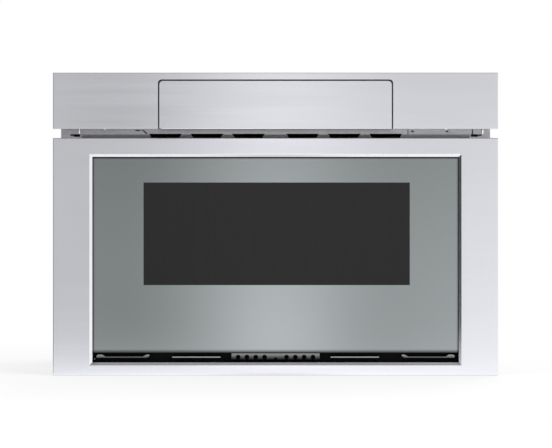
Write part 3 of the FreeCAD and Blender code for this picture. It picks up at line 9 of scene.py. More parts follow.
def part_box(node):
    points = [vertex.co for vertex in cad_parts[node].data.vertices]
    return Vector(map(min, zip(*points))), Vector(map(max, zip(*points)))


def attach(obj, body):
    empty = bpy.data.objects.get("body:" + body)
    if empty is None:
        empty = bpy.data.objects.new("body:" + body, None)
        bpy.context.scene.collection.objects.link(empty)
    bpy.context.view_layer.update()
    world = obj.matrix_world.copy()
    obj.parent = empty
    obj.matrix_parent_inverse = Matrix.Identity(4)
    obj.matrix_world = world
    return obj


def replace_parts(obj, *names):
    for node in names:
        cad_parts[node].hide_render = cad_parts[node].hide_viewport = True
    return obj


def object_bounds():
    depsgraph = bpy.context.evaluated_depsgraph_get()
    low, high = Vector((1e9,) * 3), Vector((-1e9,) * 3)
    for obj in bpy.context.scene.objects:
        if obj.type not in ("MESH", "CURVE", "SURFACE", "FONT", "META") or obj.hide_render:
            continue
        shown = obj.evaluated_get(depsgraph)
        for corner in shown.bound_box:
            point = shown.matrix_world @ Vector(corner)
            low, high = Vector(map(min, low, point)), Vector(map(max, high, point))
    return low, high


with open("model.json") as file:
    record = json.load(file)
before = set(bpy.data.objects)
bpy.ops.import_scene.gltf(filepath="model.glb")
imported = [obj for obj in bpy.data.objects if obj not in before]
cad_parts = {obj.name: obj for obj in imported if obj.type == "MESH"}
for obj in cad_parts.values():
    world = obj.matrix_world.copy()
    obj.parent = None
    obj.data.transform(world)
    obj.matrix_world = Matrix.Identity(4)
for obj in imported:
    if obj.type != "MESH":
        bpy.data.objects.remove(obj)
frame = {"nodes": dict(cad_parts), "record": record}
cad_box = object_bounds()
nodes = frame["nodes"]
MM = 0.001

# ---------------------------------------------------------------- places read from the frame

LOW, HIGH = cad_box
FRONT_Y = LOW.y
PLATE_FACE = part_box("front_plate")[0].y
REAR_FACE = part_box("rear_panel")[1].y
COVER_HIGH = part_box("outer_cover")[1]
GLASS_LOW, GLASS_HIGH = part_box("outer_glass")
SCREEN_LOW, SCREEN_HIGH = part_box("window_screen")
PANEL_LOW, PANEL_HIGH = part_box("panel_cover")

# The clear window in the coating, a little smaller than the screen behind it.
INSET_LEFT, INSET_RIGHT = 4.2 * MM, 1.2 * MM
INSET_BELOW, INSET_ABOVE = 1.8 * MM, 3.5 * MM
WINDOW_X0, WINDOW_X1 = SCREEN_LOW.x + INSET_LEFT, SCREEN_HIGH.x - INSET_RIGHT
WINDOW_Z0, WINDOW_Z1 = SCREEN_LOW.z + INSET_BELOW, SCREEN_HIGH.z - INSET_ABOVE

# The drawer front's aperture, with the gap round the glass and the bevel outside it.
GLASS_GAP = 0.8 * MM
LOWER_BORDER = 14 * MM
APERTURE_BEVEL = 4 * MM
APERTURE_X = GLASS_HIGH.x + GLASS_GAP + APERTURE_BEVEL
APERTURE_Z0 = LOW.z + LOWER_BORDER
APERTURE_Z1 = GLASS_HIGH.z + GLASS_GAP + APERTURE_BEVEL


# ---------------------------------------------------------------- material helpers

PATTERN_LOW, PATTERN_HIGH = 0.3, 0.7


def math_node(tree, operation, first, second):
    """A math node on two values, each of them a number or an output."""
    node = tree.nodes.new("ShaderNodeMath")
    node.operation = operation
    for socket, value in zip(node.inputs, (first, second)):
        if isinstance(value, (int, float)):
            socket.default_value = value
        else:
            tree.links.new(value, socket)
    return node.outputs[0]


class Shader:
    """A node material with a Principled shader, built up step by step."""

    def __init__(self, name, color, metallic=0.0, roughness=0.5):
        self.material = bpy.data.materials.new(name)
        self.material.use_nodes = True
        self.tree = self.material.node_tree
        self.shader = self.tree.nodes["Principled BSDF"]
        self.shader.inputs["Base Color"].default_value = (*color, 1.0)
        self.shader.inputs["Metallic"].default_value = metallic
        self.shader.inputs["Roughness"].default_value = roughness
        self.coords = self.add("ShaderNodeTexCoord").outputs["Object"]

    def add(self, kind):
        """A new node of a kind."""
        return self.tree.nodes.new(kind)

    def link(self, output, target):
        """Joins an output to an input."""
        self.tree.links.new(output, target)

    def math(self, operation, first, second=0.0):
        """A math node in this material."""
        return math_node(self.tree, operation, first, second)

    def place(self):
        """The X, Y and Z of the object coordinates."""
        split = self.add("ShaderNodeSeparateXYZ")
        self.link(self.coords, split.inputs["Vector"])
        return [split.outputs[axis] for axis in "XYZ"]

    def stretched(self, scale):
        """Object coordinates with a scale of its own along each axis, in cycles per metre."""
        mapping = self.add("ShaderNodeMapping")
        mapping.inputs["Scale"].default_value = scale
        self.link(self.coords, mapping.inputs["Vector"])
        return mapping.outputs["Vector"]

    def noise(self, scale, detail=4.0, roughness=0.6):
        """Noise between 0 and 1; scale is one number or one for each axis, per metre."""
        if not isinstance(scale, tuple):
            scale = (scale, scale, scale)
        node = self.add("ShaderNodeTexNoise")
        node.inputs["Scale"].default_value = 1.0
        node.inputs["Detail"].default_value = detail
        node.inputs["Roughness"].default_value = roughness
        self.link(self.stretched(scale), node.inputs["Vector"])
        return node.outputs["Fac"]

    def cells(self, scale):
        """Random grey per cell of a crystal-like pattern."""
        node = self.add("ShaderNodeTexVoronoi")
        node.inputs["Scale"].default_value = 1.0
        self.link(self.stretched((scale, scale, scale)), node.inputs["Vector"])
        split = self.add("ShaderNodeSeparateColor")
        self.link(node.outputs["Color"], split.inputs["Color"])
        return split.outputs["Red"]

    def ranged(self, value, low, high, start=PATTERN_LOW, end=PATTERN_HIGH):
        """Maps a range, by default a pattern's middle one, to new values."""
        node = self.add("ShaderNodeMapRange")
        node.inputs["From Min"].default_value = start
        node.inputs["From Max"].default_value = end
        node.inputs["To Min"].default_value = low
        node.inputs["To Max"].default_value = high
        self.link(value, node.inputs["Value"])
        return node.outputs["Result"]

    def color_between(self, value, low, high):
        """Base colour that runs between two colours with a pattern."""
        ramp = self.add("ShaderNodeValToRGB")
        stops = ((PATTERN_LOW, low), (PATTERN_HIGH, high))
        for element, (position, color) in zip(ramp.color_ramp.elements, stops):
            element.position = position
            element.color = (*color, 1.0)
        self.link(value, ramp.inputs["Fac"])
        self.link(ramp.outputs["Color"], self.shader.inputs["Base Color"])

    def rough_between(self, value, low, high):
        """Roughness that runs between two values with a pattern."""
        self.link(self.ranged(value, low, high), self.shader.inputs["Roughness"])

    def bump(self, value, depth_mm, strength):
        """Relief of a real depth."""
        node = self.add("ShaderNodeBump")
        node.inputs["Strength"].default_value = strength
        node.inputs["Distance"].default_value = depth_mm * MM
        self.link(value, node.inputs["Height"])
        self.link(node.outputs["Normal"], self.shader.inputs["Normal"])

    def set(self, socket, value):
        """Sets one of the shader's own values."""
        self.shader.inputs[socket].default_value = value


def scaled(color, factor):
    """A lighter or darker shade of a colour."""
    return tuple(min(1.0, channel * factor) for channel in color)


# ---------------------------------------------------------------- materials

def brushed_steel(name, color):
    """Stainless sheet with long fine scratches along X."""
    long, fine, roughness = 4.0, 1100.0, 0.2
    shader = Shader(name, color, 1.0, roughness)
    scratches = shader.noise((long, fine, fine), 4.0, 0.7)
    broad = shader.noise((2.0, 60.0, 60.0), 2.0)
    shader.color_between(scratches, scaled(color, 0.975), scaled(color, 1.02))
    shader.rough_between(broad, roughness - 0.02, roughness + 0.03)
    shader.bump(scratches, 0.004, 0.25)
    shader.set("Anisotropic", 0.3)
    shader.set("Anisotropic Rotation", 0.25)
    return shader.material


def zinc_sheet(name, color, roughness=0.42, spangle=160.0, patches=1.0):
    """Galvanized or zinc-plated steel with its faint crystal pattern and duller patches."""
    shader = Shader(name, color, 1.0, roughness)
    cells = shader.cells(spangle)
    shader.color_between(cells, scaled(color, 0.95), scaled(color, 1.04))
    shader.rough_between(shader.noise(140.0), roughness - 0.06 * patches,
                         roughness + 0.1 * patches)
    shader.bump(shader.noise(700.0), 0.01, 0.3 * patches)
    return shader.material


def enamel(name, color, roughness=0.38):
    """Painted steel with a soft orange-peel surface."""
    shader = Shader(name, color, 0.0, roughness)
    shader.color_between(shader.noise(35.0), scaled(color, 0.95), scaled(color, 1.04))
    shader.rough_between(shader.noise(60.0), roughness - 0.05, roughness + 0.08)
    shader.bump(shader.noise(420.0, 2.0), 0.02, 0.35)
    shader.set("Coat Weight", 0.15)
    return shader.material


def moulded(name, color, roughness=0.5, grain=1400.0):
    """Moulded plastic with a fine grain."""
    shader = Shader(name, color, 0.0, roughness)
    shader.color_between(shader.noise(50.0), scaled(color, 0.9), scaled(color, 1.1))
    shader.rough_between(shader.noise(90.0), roughness - 0.06, roughness + 0.06)
    shader.bump(shader.noise(grain, 2.0), 0.02, 0.4)
    return shader.material


def coated_glass(name):
    """Half-mirror grey coating behind a glass face, with a painted reflection that darkens it
    upwards, painted shade along its lower edge, and darker side and top rims that are partly the
    ground edge and partly painted shadow.
    """
    color = (0.288, 0.314, 0.317)
    lower_shade_height, upper_shade = 5 * MM, 0.87
    side_rim, side_shade = 3 * MM, 0.72
    top_rim, top_shade = 2 * MM, 0.4
    shader = Shader(name, color, 0.9, 0.15)
    x, _, z = shader.place()
    # Painted shade: near black at the lowest few millimetres, for the shade of the rounded lower
    # edge.
    lower_shade = shader.ranged(z, 0.0, 1.0, GLASS_LOW.z, GLASS_LOW.z + lower_shade_height)
    cloud = shader.ranged(shader.noise((4.0, 4.0, 1.5), 2.0, 0.4), 0.985, 1.0)
    # Darker rims at the sides and the top: partly the ground edge, partly painted shadow.
    side = shader.ranged(shader.math("ABSOLUTE", x), 1.0, side_shade, GLASS_HIGH.x - side_rim,
                         GLASS_HIGH.x)
    top = shader.ranged(z, 1.0, top_shade, GLASS_HIGH.z - top_rim, GLASS_HIGH.z - top_rim / 2)
    rim_shade = shader.math("MULTIPLY", side, top)
    # Painted reflection: the coating darkens evenly upwards.
    height_shade = shader.ranged(z, 1.0, upper_shade, GLASS_LOW.z, GLASS_HIGH.z)
    level = shader.math("MULTIPLY", shader.math("MULTIPLY", lower_shade, cloud),
                        shader.math("MULTIPLY", rim_shade, height_shade))
    ramp = shader.add("ShaderNodeValToRGB")
    ramp.color_ramp.elements[0].color = (0.01, 0.01, 0.01, 1.0)
    ramp.color_ramp.elements[1].color = (*color, 1.0)
    shader.link(level, ramp.inputs["Fac"])
    shader.link(ramp.outputs["Color"], shader.shader.inputs["Base Color"])
    shader.bump(shader.noise(9.0, 1.0), 0.01, 0.1)
    shader.set("Coat Weight", 0.25)
    shader.set("Coat Roughness", 0.05)
    return shader.material


def window_glass(name):
    """Dark glass over a perforated screen: very faint upright streaks and fine dots."""
    base = (0.0185, 0.0185, 0.0187)
    shader = Shader(name, base, 0.0, 0.2)
    streaks = shader.noise((260.0, 4.0, 3.0), 3.0, 0.6)
    shader.color_between(streaks, scaled(base, 0.97), scaled(base, 1.04))
    shader.bump(shader.cells(800.0), 0.004, 0.1)
    shader.set("Specular IOR Level", 0.08)
    return shader.material


def laminated(name, color):
    """Stack of steel laminations, seen as fine level lines."""
    shader = Shader(name, color, 0.7, 0.5)
    lines = shader.noise((6.0, 6.0, 1800.0), 2.0)
    shader.color_between(lines, scaled(color, 0.6), scaled(color, 1.25))
    shader.bump(lines, 0.05, 0.6)
    return shader.material


def glassy(name, color):
    """Clear glass."""
    roughness = 0.05
    shader = Shader(name, color, 0.0, roughness)
    shader.rough_between(shader.noise(30.0), roughness, roughness + 0.03)
    shader.set("Transmission Weight", 1.0)
    shader.set("IOR", 1.5)
    return shader.material


def ceramic_white(name):
    """Smooth glass ceramic, off-white with a faint cloud."""
    shader = Shader(name, (0.78, 0.78, 0.76), 0.0, 0.14)
    shader.color_between(shader.noise(22.0), (0.75, 0.75, 0.73), (0.81, 0.81, 0.79))
    shader.bump(shader.noise(240.0, 2.0), 0.006, 0.2)
    shader.set("Coat Weight", 0.4)
    return shader.material


def board_green(name):
    """Circuit board: solder mask with a faint copper pattern."""
    shader = Shader(name, (0.02, 0.13, 0.06), 0.0, 0.32)
    traces = shader.cells(260.0)
    shader.color_between(traces, (0.016, 0.10, 0.045), (0.03, 0.17, 0.085))
    shader.bump(traces, 0.03, 0.4)
    return shader.material


def matt_black(name):
    """Deep black moulding that hardly mirrors anything."""
    shader = Shader(name, (0.004, 0.004, 0.004), 0.0, 0.7)
    shader.color_between(shader.noise(60.0), (0.003, 0.003, 0.003), (0.005, 0.005, 0.005))
    shader.bump(shader.noise(900.0, 2.0), 0.02, 0.4)
    shader.set("Specular IOR Level", 0.15)
    return shader.material


def guard_edge(name):
    """Dark sheet with a painted highlight along its upper edges and painted shade below them,
    painted lightest on the inner shelves.
    """
    strip_end, inner_start = 62 * MM, 72 * MM
    inner_end, outer_start = 150 * MM, 165 * MM
    strip_level, inner_level, outer_share = 0.22, 0.8, 0.4
    dark_below, bright_above = 5.5 * MM, 13 * MM
    shader = Shader(name, (0.2, 0.2, 0.2), 1.0, 0.35)
    x, _, z = shader.place()
    across = shader.math("ABSOLUTE", x)
    # Painted light: the strip is darkest, the inner shelves lightest and the outer shelves in
    # between.
    inner = shader.ranged(across, strip_level, inner_level, strip_end, inner_start)
    outer = shader.ranged(across, 1.0, outer_share, inner_end, outer_start)
    base = shader.math("MULTIPLY", inner, outer)
    # Painted highlight and shade: dark at the foot of each edge face, brightest at its top.
    height_shade = shader.math("POWER", shader.ranged(z, 0.0, 1.0, dark_below, bright_above), 1.6)
    mottled = shader.ranged(shader.noise(300.0), 0.9, 1.1)
    level = shader.math("MULTIPLY", shader.math("MULTIPLY", base, height_shade), mottled)
    shader.link(level, shader.shader.inputs["Base Color"])
    shader.bump(shader.noise(700.0), 0.01, 0.3)
    return shader.material


def foam(name, color):
    """Soft foam with fine open cells."""
    shader = Shader(name, color, 0.0, 0.9)
    shader.color_between(shader.noise(800.0), scaled(color, 0.7), scaled(color, 1.4))
    shader.bump(shader.cells(1500.0), 0.1, 0.6)
    return shader.material


STEEL = (0.70, 0.705, 0.745)
materials = {
    "stainless_front": brushed_steel("stainless_front", STEEL),
    "stainless_cover": brushed_steel("stainless_cover", STEEL),
    "galvanized_casing": zinc_sheet("galvanized_casing", (0.52, 0.53, 0.54)),
    "plate_grey": zinc_sheet("plate_grey", (0.42, 0.42, 0.44), 0.32, 300.0, 0.15),
    "coated_glass": coated_glass("coated_glass"),
    "window_glass": window_glass("window_glass"),
    "clear_glass": glassy("clear_glass", (0.75, 0.78, 0.78)),
    "black_glass": moulded("black_glass", (0.012, 0.012, 0.013), 0.08, 300.0),
    "window_screen": enamel("window_screen", (0.02, 0.02, 0.02), 0.5),
    "black_plastic": moulded("black_plastic", (0.013, 0.013, 0.014), 0.55),
    "guard_black": matt_black("guard_black"),
    "guard_edge": guard_edge("guard_edge"),
    "grey_plastic": moulded("grey_plastic", (0.33, 0.33, 0.34), 0.45),
    "white_plastic": moulded("white_plastic", (0.70, 0.69, 0.64), 0.4),
    "display_green": moulded("display_green", (0.012, 0.03, 0.028), 0.15, 400.0),
    "circuit_board": board_green("circuit_board"),
    "cavity_enamel": enamel("cavity_enamel", (0.52, 0.52, 0.50), 0.35),
    "ceramic": ceramic_white("ceramic"),
    "zinc_steel": zinc_sheet("zinc_steel", (0.56, 0.56, 0.54), 0.35, 300.0),
    "dark_steel": enamel("dark_steel", (0.035, 0.035, 0.037), 0.5),
    "aluminium": zinc_sheet("aluminium", (0.72, 0.73, 0.74), 0.3, 500.0),
    "motor_steel": laminated("motor_steel", (0.22, 0.22, 0.23)),
    "mica": moulded("mica", (0.55, 0.49, 0.37), 0.5, 500.0),
    "tape_black": foam("tape_black", (0.02, 0.02, 0.02)),
    # Grey foam for the strip that stands in for shade in the gap above the drawer.
    "gap_shade_foam": foam("gap_shade_foam", (0.42, 0.42, 0.43)),
    "pin_bright": zinc_sheet("pin_bright", (0.93, 0.93, 0.93), 0.12, 500.0),
    "clip_black": enamel("clip_black", (0.022, 0.022, 0.024), 0.45),
    "print_grey": moulded("print_grey", (0.55, 0.56, 0.57), 0.5),
    "figure_green": moulded("figure_green", (0.16, 0.62, 0.42), 0.4),
    "gear_plastic": moulded("gear_plastic", (0.68, 0.66, 0.58), 0.35),
}


def dress_nodes():
    """Gives every CAD node the finish of its material slot."""
    for subpart in frame["record"]["subparts"]:
        node = nodes[subpart["node"]]
        finish = materials[subpart["material_slot"]]
        if not node.material_slots:
            node.data.materials.append(finish)
        for place in node.material_slots:
            place.material = finish


dress_nodes()


# ---------------------------------------------------------------- mesh helpers

def new_piece(name, mesh, body, finishes):
    """A piece that rides on a body, with its finishes."""
    piece = bpy.data.objects.new(name, mesh)
    bpy.context.scene.collection.objects.link(piece)
    for finish in finishes:
        mesh.materials.append(materials[finish])
    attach(piece, body)
    return piece


def mesh_from(name, bm):
    """Closes an edit and returns its mesh, with the faces turned outwards."""
    bmesh.ops.recalc_face_normals(bm, faces=bm.faces)
    mesh = bpy.data.meshes.new(name)
    bm.to_mesh(mesh)
    bm.free()
    return mesh


def soften(piece, width_mm, angle=35.0):
    """Rounds a piece's sharp edges and shades it smoothly between them."""
    bevel = piece.modifiers.new("edges", "BEVEL")
    bevel.width = width_mm * MM
    bevel.segments = 2
    bevel.limit_method = "ANGLE"
    bevel.angle_limit = math.radians(angle)
    bevel.harden_normals = True
    for face in piece.data.polygons:
        face.use_smooth = True


# ---------------------------------------------------------------- glass pane

def glass_pane():
    """Pane with ground edges; its middle is clear over the dark screen."""
    xs = (GLASS_LOW.x, WINDOW_X0, WINDOW_X1, GLASS_HIGH.x)
    zs = (GLASS_LOW.z, WINDOW_Z0, WINDOW_Z1, GLASS_HIGH.z)
    bm = bmesh.new()
    grid = [[bm.verts.new((x, GLASS_LOW.y, z)) for z in zs] for x in xs]
    for i in range(3):
        for j in range(3):
            face = bm.faces.new((grid[i][j], grid[i + 1][j], grid[i + 1][j + 1], grid[i][j + 1]))
            face.material_index = 1 if i == 1 and j == 1 else 0
    made = bmesh.ops.extrude_face_region(bm, geom=list(bm.faces), use_keep_orig=True)
    moved = [item for item in made["geom"] if isinstance(item, bmesh.types.BMVert)]
    bmesh.ops.translate(bm, verts=moved, vec=(0, GLASS_HIGH.y - GLASS_LOW.y, 0))
    mesh = mesh_from("glass_pane", bm)
    pane = new_piece("glass_pane", mesh, "drawer", ("coated_glass", "window_glass"))
    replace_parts(pane, "outer_glass")
    soften(pane, 0.6, angle=60.0)


glass_pane()


# ---------------------------------------------------------------- rolled sheet edges

FACE_ROUNDING = 1.1 * MM
APERTURE_ROUNDING = 0.4 * MM
INNER_ROUNDING = 0.7 * MM
HEADER_ROUNDING = 0.4 * MM
LOWER_ROUNDING = 1.0 * MM
LOWER_DROP = 0.6 * MM
LOWER_REACH = 1.05 * MM
CASING_ROUNDING = 2.0 * MM
PANEL_GAP = 2.1 * MM
PANEL_RIM = 1.0 * MM
ROUNDING_STEPS = 6
WELD = 0.01 * MM
NEAR_LIP = 0.05 * MM
SHARP_TURN = 0.3
CORNER_TURN = math.radians(32)


def at_inner_lip(point):
    """Whether a point lies on the inner outline of the aperture's bevel."""
    if abs(point.y - FRONT_Y - APERTURE_BEVEL) > NEAR_LIP:
        return False
    x, z0, z1 = (APERTURE_X - APERTURE_BEVEL, APERTURE_Z0 + APERTURE_BEVEL,
                 APERTURE_Z1 - APERTURE_BEVEL)
    at_side = abs(abs(point.x) - x) < NEAR_LIP and z0 - NEAR_LIP < point.z < z1 + NEAR_LIP
    at_level = min(abs(point.z - z0), abs(point.z - z1)) < NEAR_LIP
    return at_side or (at_level and abs(point.x) < x + NEAR_LIP)


def at_face(point):
    """Whether a point lies on the front plane."""
    return abs(point.y - FRONT_Y) < NEAR_LIP


def at_aperture(point):
    """Whether a point lies on the outline of the aperture in the front plane."""
    at_level = APERTURE_Z0 - NEAR_LIP < point.z < APERTURE_Z1 + NEAR_LIP
    return at_face(point) and at_level and abs(point.x) < APERTURE_X + NEAR_LIP


def at_outline(point):
    """Whether a point lies on the outer outline of the front plane."""
    return at_face(point) and not at_aperture(point)


def at_cover_lip(point):
    """Whether a point lies on the lowered lower edge of the control panel's cover."""
    return at_face(point) and abs(point.z - (PANEL_LOW.z - LOWER_DROP)) < NEAR_LIP


def heading(face):
    """The way a rolled edge faces, seen from the front."""
    return Vector((face.normal.x, face.normal.z)).normalized()


def lower_front_lip(bm, drop):
    """Lowers the front lip of a sheet's lower edge."""
    for vert in bm.verts:
        if vert.co.y < FRONT_Y + LOWER_REACH and vert.co.z < PANEL_LOW.z + LOWER_REACH:
            vert.co.z -= drop


def roll_edges(bm, is_lip, rounding):
    """Rounds the sharp edges that a test picks, and shades only the rounded strips smoothly."""
    edges = [edge for edge in bm.edges if edge.calc_face_angle(0.0) > SHARP_TURN
             and all(is_lip(vert.co) for vert in edge.verts)]
    made = bmesh.ops.bevel(bm, geom=edges, offset=rounding, segments=ROUNDING_STEPS,
                           profile=0.5, affect="EDGES", clamp_overlap=True)
    for face in made["faces"]:
        face.smooth = True


def keep_mitres(bm):
    """Keeps the mitres sharp where two rounded strips meet at a corner."""
    bm.normal_update()
    for edge in bm.edges:
        if len(edge.link_faces) == 2 and all(face.smooth for face in edge.link_faces):
            first, second = (heading(face) for face in edge.link_faces)
            edge.smooth = first.angle(second, 0.0) < CORNER_TURN


def rolled_sheet(name, node_name, body, slot, lips, is_shaded_gap=None, drop=0.0):
    """A copy of a sheet part with its visible edges rolled round, as folded sheet is."""
    bm = bmesh.new()
    bm.from_mesh(nodes[node_name].data)
    bmesh.ops.remove_doubles(bm, verts=bm.verts, dist=WELD)
    lower_front_lip(bm, drop)
    for face in bm.faces:
        face.smooth = False
    for is_lip, rounding in lips:
        roll_edges(bm, is_lip, rounding)
    keep_mitres(bm)
    # Faces lining the gap round the control panel's cover are made black: painted shade between the
    # parts.
    for face in bm.faces:
        face.material_index = 1 if is_shaded_gap and is_shaded_gap(face) else 0
    finishes = (slot, "clip_black") if is_shaded_gap else (slot,)
    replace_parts(new_piece(name, mesh_from(name, bm), body, finishes), node_name)


def at_cover_bend(point):
    """Whether a point lies on one of the casing's two upper bends."""
    at_side = abs(abs(point.x) - COVER_HIGH.x) < NEAR_LIP
    return at_side and abs(point.z - COVER_HIGH.z) < NEAR_LIP


def in_panel_gap(face):
    """Whether a face lines the narrow gap round the control panel's cover; these faces are painted
    black as shade.
    """
    middle = face.calc_center_median()
    inside = abs(middle.x) < PANEL_HIGH.x + PANEL_GAP and middle.z < PANEL_HIGH.z + PANEL_GAP
    return abs(face.normal.y) < 0.3 and inside and middle.z > PANEL_LOW.z + PANEL_RIM


rolled_sheet("front_frame", "drawer_front_frame", "drawer", "stainless_front",
             [(at_outline, FACE_ROUNDING), (at_aperture, APERTURE_ROUNDING),
              (at_inner_lip, INNER_ROUNDING)])
rolled_sheet("header_panel", "header_fascia", "chassis", "stainless_front",
             [(at_face, HEADER_ROUNDING)], in_panel_gap, LOWER_DROP)
rolled_sheet("cover_panel", "panel_cover", "control_panel", "stainless_cover",
             [(at_cover_lip, LOWER_ROUNDING), (at_face, HEADER_ROUNDING)], in_panel_gap,
             LOWER_DROP)
rolled_sheet("casing_cover", "outer_cover", "chassis", "galvanized_casing",
             [(at_cover_bend, CASING_ROUNDING)])


# ---------------------------------------------------------------- intake guard

GUARD_LIP_Y = FRONT_Y + 8.6 * MM
SCREW_PLACE = (-247.6 * MM, -10.5 * MM, 6.3 * MM)
SCREW_RADIUS = 1.2 * MM
SCREW_FLATNESS = 0.6


def intake_guard():
    """Black trough; the front edges of its shelves and its perforated strip carry a painted
    highlight.
    """
    mesh = nodes["intake_guard"].data.copy()
    mesh.materials.clear()
    trough = new_piece("guard_trough", mesh, "drawer", ("guard_black", "guard_edge"))
    for face in mesh.polygons:
        at_lip = face.center.y < GUARD_LIP_Y and face.center.z < GLASS_LOW.z
        face.material_index = 1 if at_lip and abs(face.normal.y) > 0.7 else 0
    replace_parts(trough, "intake_guard")


def guard_screw():
    """Small domed screw head at the left end of the trough."""
    bm = bmesh.new()
    bmesh.ops.create_uvsphere(bm, u_segments=20, v_segments=10, radius=SCREW_RADIUS)
    bmesh.ops.bisect_plane(bm, geom=bm.verts[:] + bm.edges[:] + bm.faces[:], plane_co=(0, 0, 0),
                           plane_no=(0, 1, 0), clear_outer=True)
    bmesh.ops.holes_fill(bm, edges=bm.edges)
    for vert in bm.verts:
        vert.co.y *= SCREW_FLATNESS
    bmesh.ops.translate(bm, verts=bm.verts, vec=SCREW_PLACE)
    mesh = mesh_from("guard_screw", bm)
    for face in mesh.polygons:
        face.use_smooth = True
    new_piece("guard_screw", mesh, "drawer", ("zinc_steel",))


intake_guard()
guard_screw()


# ---------------------------------------------------------------- gap above the drawer

VENT_CENTRES = [place * MM for place in (-151, -94, -37, 37, 94, 151)]
VENT_REACH_LOW, VENT_REACH_HIGH = 17.7 * MM, 22.2 * MM
# A grey foam strip stands in for the shade at the foot of the gap above the drawer.
SHADE_STRIP_END = 266 * MM
SHADE_STRIP_LOW, SHADE_STRIP_HIGH = 306 * MM, 313.6 * MM
SHADE_STRIP_DEPTH = 1.0 * MM
PIN_RADIUS = 1.4 * MM
PIN_PLACES = (-269.4 * MM, 283.4 * MM)
PIN_LOW, PIN_HIGH = 314.4 * MM, 320.7 * MM
CLIP_DEPTH = 1.2 * MM
WIRE_RADIUS = 0.9 * MM

# Dark sheet clips, which stand in for the shade inside the recesses at the ends of the gap, by
# their left, right, lower and upper edges, and spring wires by points in X and Z, both in
# millimetres.
SHADE_CLIPS = ((-281.2, -276.0, 311.6, 314.0), (276.0, 282.4, 311.4, 313.8),
               (269.2, 270.8, 314.0, 320.6), (181.0, 182.0, 313.8, 320.6))
SPRING_WIRES = (((-192.0, 318.8), (-188.8, 319.3), (-185.8, 318.8)),
                ((-182.8, 319.6), (-180.6, 318.6), (-178.4, 316.6), (-176.2, 314.6)),
                ((185.6, 318.8), (187.6, 317.6), (189.8, 318.2)),
                ((233.4, 318.8), (236.6, 317.2)))


def add_plate(bm, outline, back, front):
    """A flat plate with an outline in X and Z, from one depth to another."""
    rear = [bm.verts.new((x, back, z)) for x, z in outline]
    face = [bm.verts.new((x, front, z)) for x, z in outline]
    bm.faces.new(rear)
    bm.faces.new(face)
    for i in range(len(outline)):
        j = (i + 1) % len(outline)
        bm.faces.new((rear[i], rear[j], face[j], face[i]))


def rectangle(x0, x1, z0, z1):
    """The corners of an upright rectangle."""
    return [(x0, z0), (x1, z0), (x1, z1), (x0, z1)]


def add_wire(bm, points, y, radius, sides=10):
    """A round wire through points in X and Z, all at one depth."""
    rings = []
    for i, (x, z) in enumerate(points):
        before = Vector(points[max(i - 1, 0)])
        after = Vector(points[min(i + 1, len(points) - 1)])
        along = (after - before).normalized()
        ring = []
        for k in range(sides):
            turn = 2 * math.pi * k / sides
            out = radius * math.cos(turn)
            ring.append(bm.verts.new((x - along.y * out, y + radius * math.sin(turn),
                                      z + along.x * out)))
        rings.append(ring)
    for first, second in zip(rings, rings[1:]):
        for k in range(sides):
            n = (k + 1) % sides
            bm.faces.new((first[k], first[n], second[n], second[k]))
    bm.faces.new(rings[0])
    bm.faces.new(rings[-1])


def gap_shade_strip():
    """Thin grey foam strip along the plate above the drawer that stands in for the shade at the
    foot of the gap, cut away round the exhaust slots.
    """
    starts = [(-SHADE_STRIP_END, -SHADE_STRIP_END)]
    starts += [(x + VENT_REACH_LOW, x + VENT_REACH_HIGH) for x in VENT_CENTRES]
    stops = [(x - VENT_REACH_LOW, x - VENT_REACH_HIGH) for x in VENT_CENTRES]
    stops += [(SHADE_STRIP_END, SHADE_STRIP_END)]
    bm = bmesh.new()
    for (start_low, start_high), (stop_low, stop_high) in zip(starts, stops):
        add_plate(bm, [(start_low, SHADE_STRIP_LOW), (stop_low, SHADE_STRIP_LOW), (stop_high, SHADE_STRIP_HIGH),
                       (start_high, SHADE_STRIP_HIGH)], PLATE_FACE, PLATE_FACE - SHADE_STRIP_DEPTH)
    piece = new_piece("gap_shade_strip", mesh_from("gap_shade_strip", bm), "chassis", ("gap_shade_foam",))
    soften(piece, 0.3)


def gap_pins():
    """Short bright pins that stand on the plate at both ends of the gap."""
    bm = bmesh.new()
    for x in PIN_PLACES:
        add_wire(bm, [(x, PIN_LOW), (x, PIN_HIGH)], PLATE_FACE - PIN_RADIUS, PIN_RADIUS, 20)
    piece = new_piece("gap_pins", mesh_from("gap_pins", bm), "chassis", ("pin_bright",))
    soften(piece, 0.2)


def gap_shade_clips():
    """Dark sheet clips at the ends of the gap, standing in for the shade in the recesses there, and
    spring wires under the header.
    """
    bm = bmesh.new()
    for edges in SHADE_CLIPS:
        add_plate(bm, rectangle(*(edge * MM for edge in edges)), PLATE_FACE,
                  PLATE_FACE - CLIP_DEPTH)
    for wire in SPRING_WIRES:
        points = [(x * MM, z * MM) for x, z in wire]
        add_wire(bm, points, PLATE_FACE - WIRE_RADIUS, WIRE_RADIUS)
    piece = new_piece("gap_shade_clips", mesh_from("gap_shade_clips", bm), "chassis", ("clip_black",))
    soften(piece, 0.15)


gap_shade_strip()
gap_pins()
gap_shade_clips()


# ---------------------------------------------------------------- rear rating plate

RATING_X, RATING_Z = 90 * MM, 300 * MM
RATING_W, RATING_H = 110 * MM, 64 * MM
RATING_CORNER = 4 * MM
RATING_SHEET = 0.5 * MM
RIVET_INSET = 5 * MM
RIVET_SIZE, RIVET_ROUNDING = 4.4 * MM, 2.19 * MM
RIVET_SEAT, RIVET_TOP = 0.4 * MM, 1.6 * MM


def rounded_box(x, y, width, height, radius, steps=4):
    """Points round a box with rounded corners."""
    points = []
    for corner, (side_x, side_y) in enumerate(((1, 1), (-1, 1), (-1, -1), (1, -1))):
        for k in range(steps + 1):
            turn = math.pi / 2 * (corner + k / steps)
            points.append((x + side_x * (width / 2 - radius) + radius * math.cos(turn),
                           y + side_y * (height / 2 - radius) + radius * math.sin(turn)))
    return points


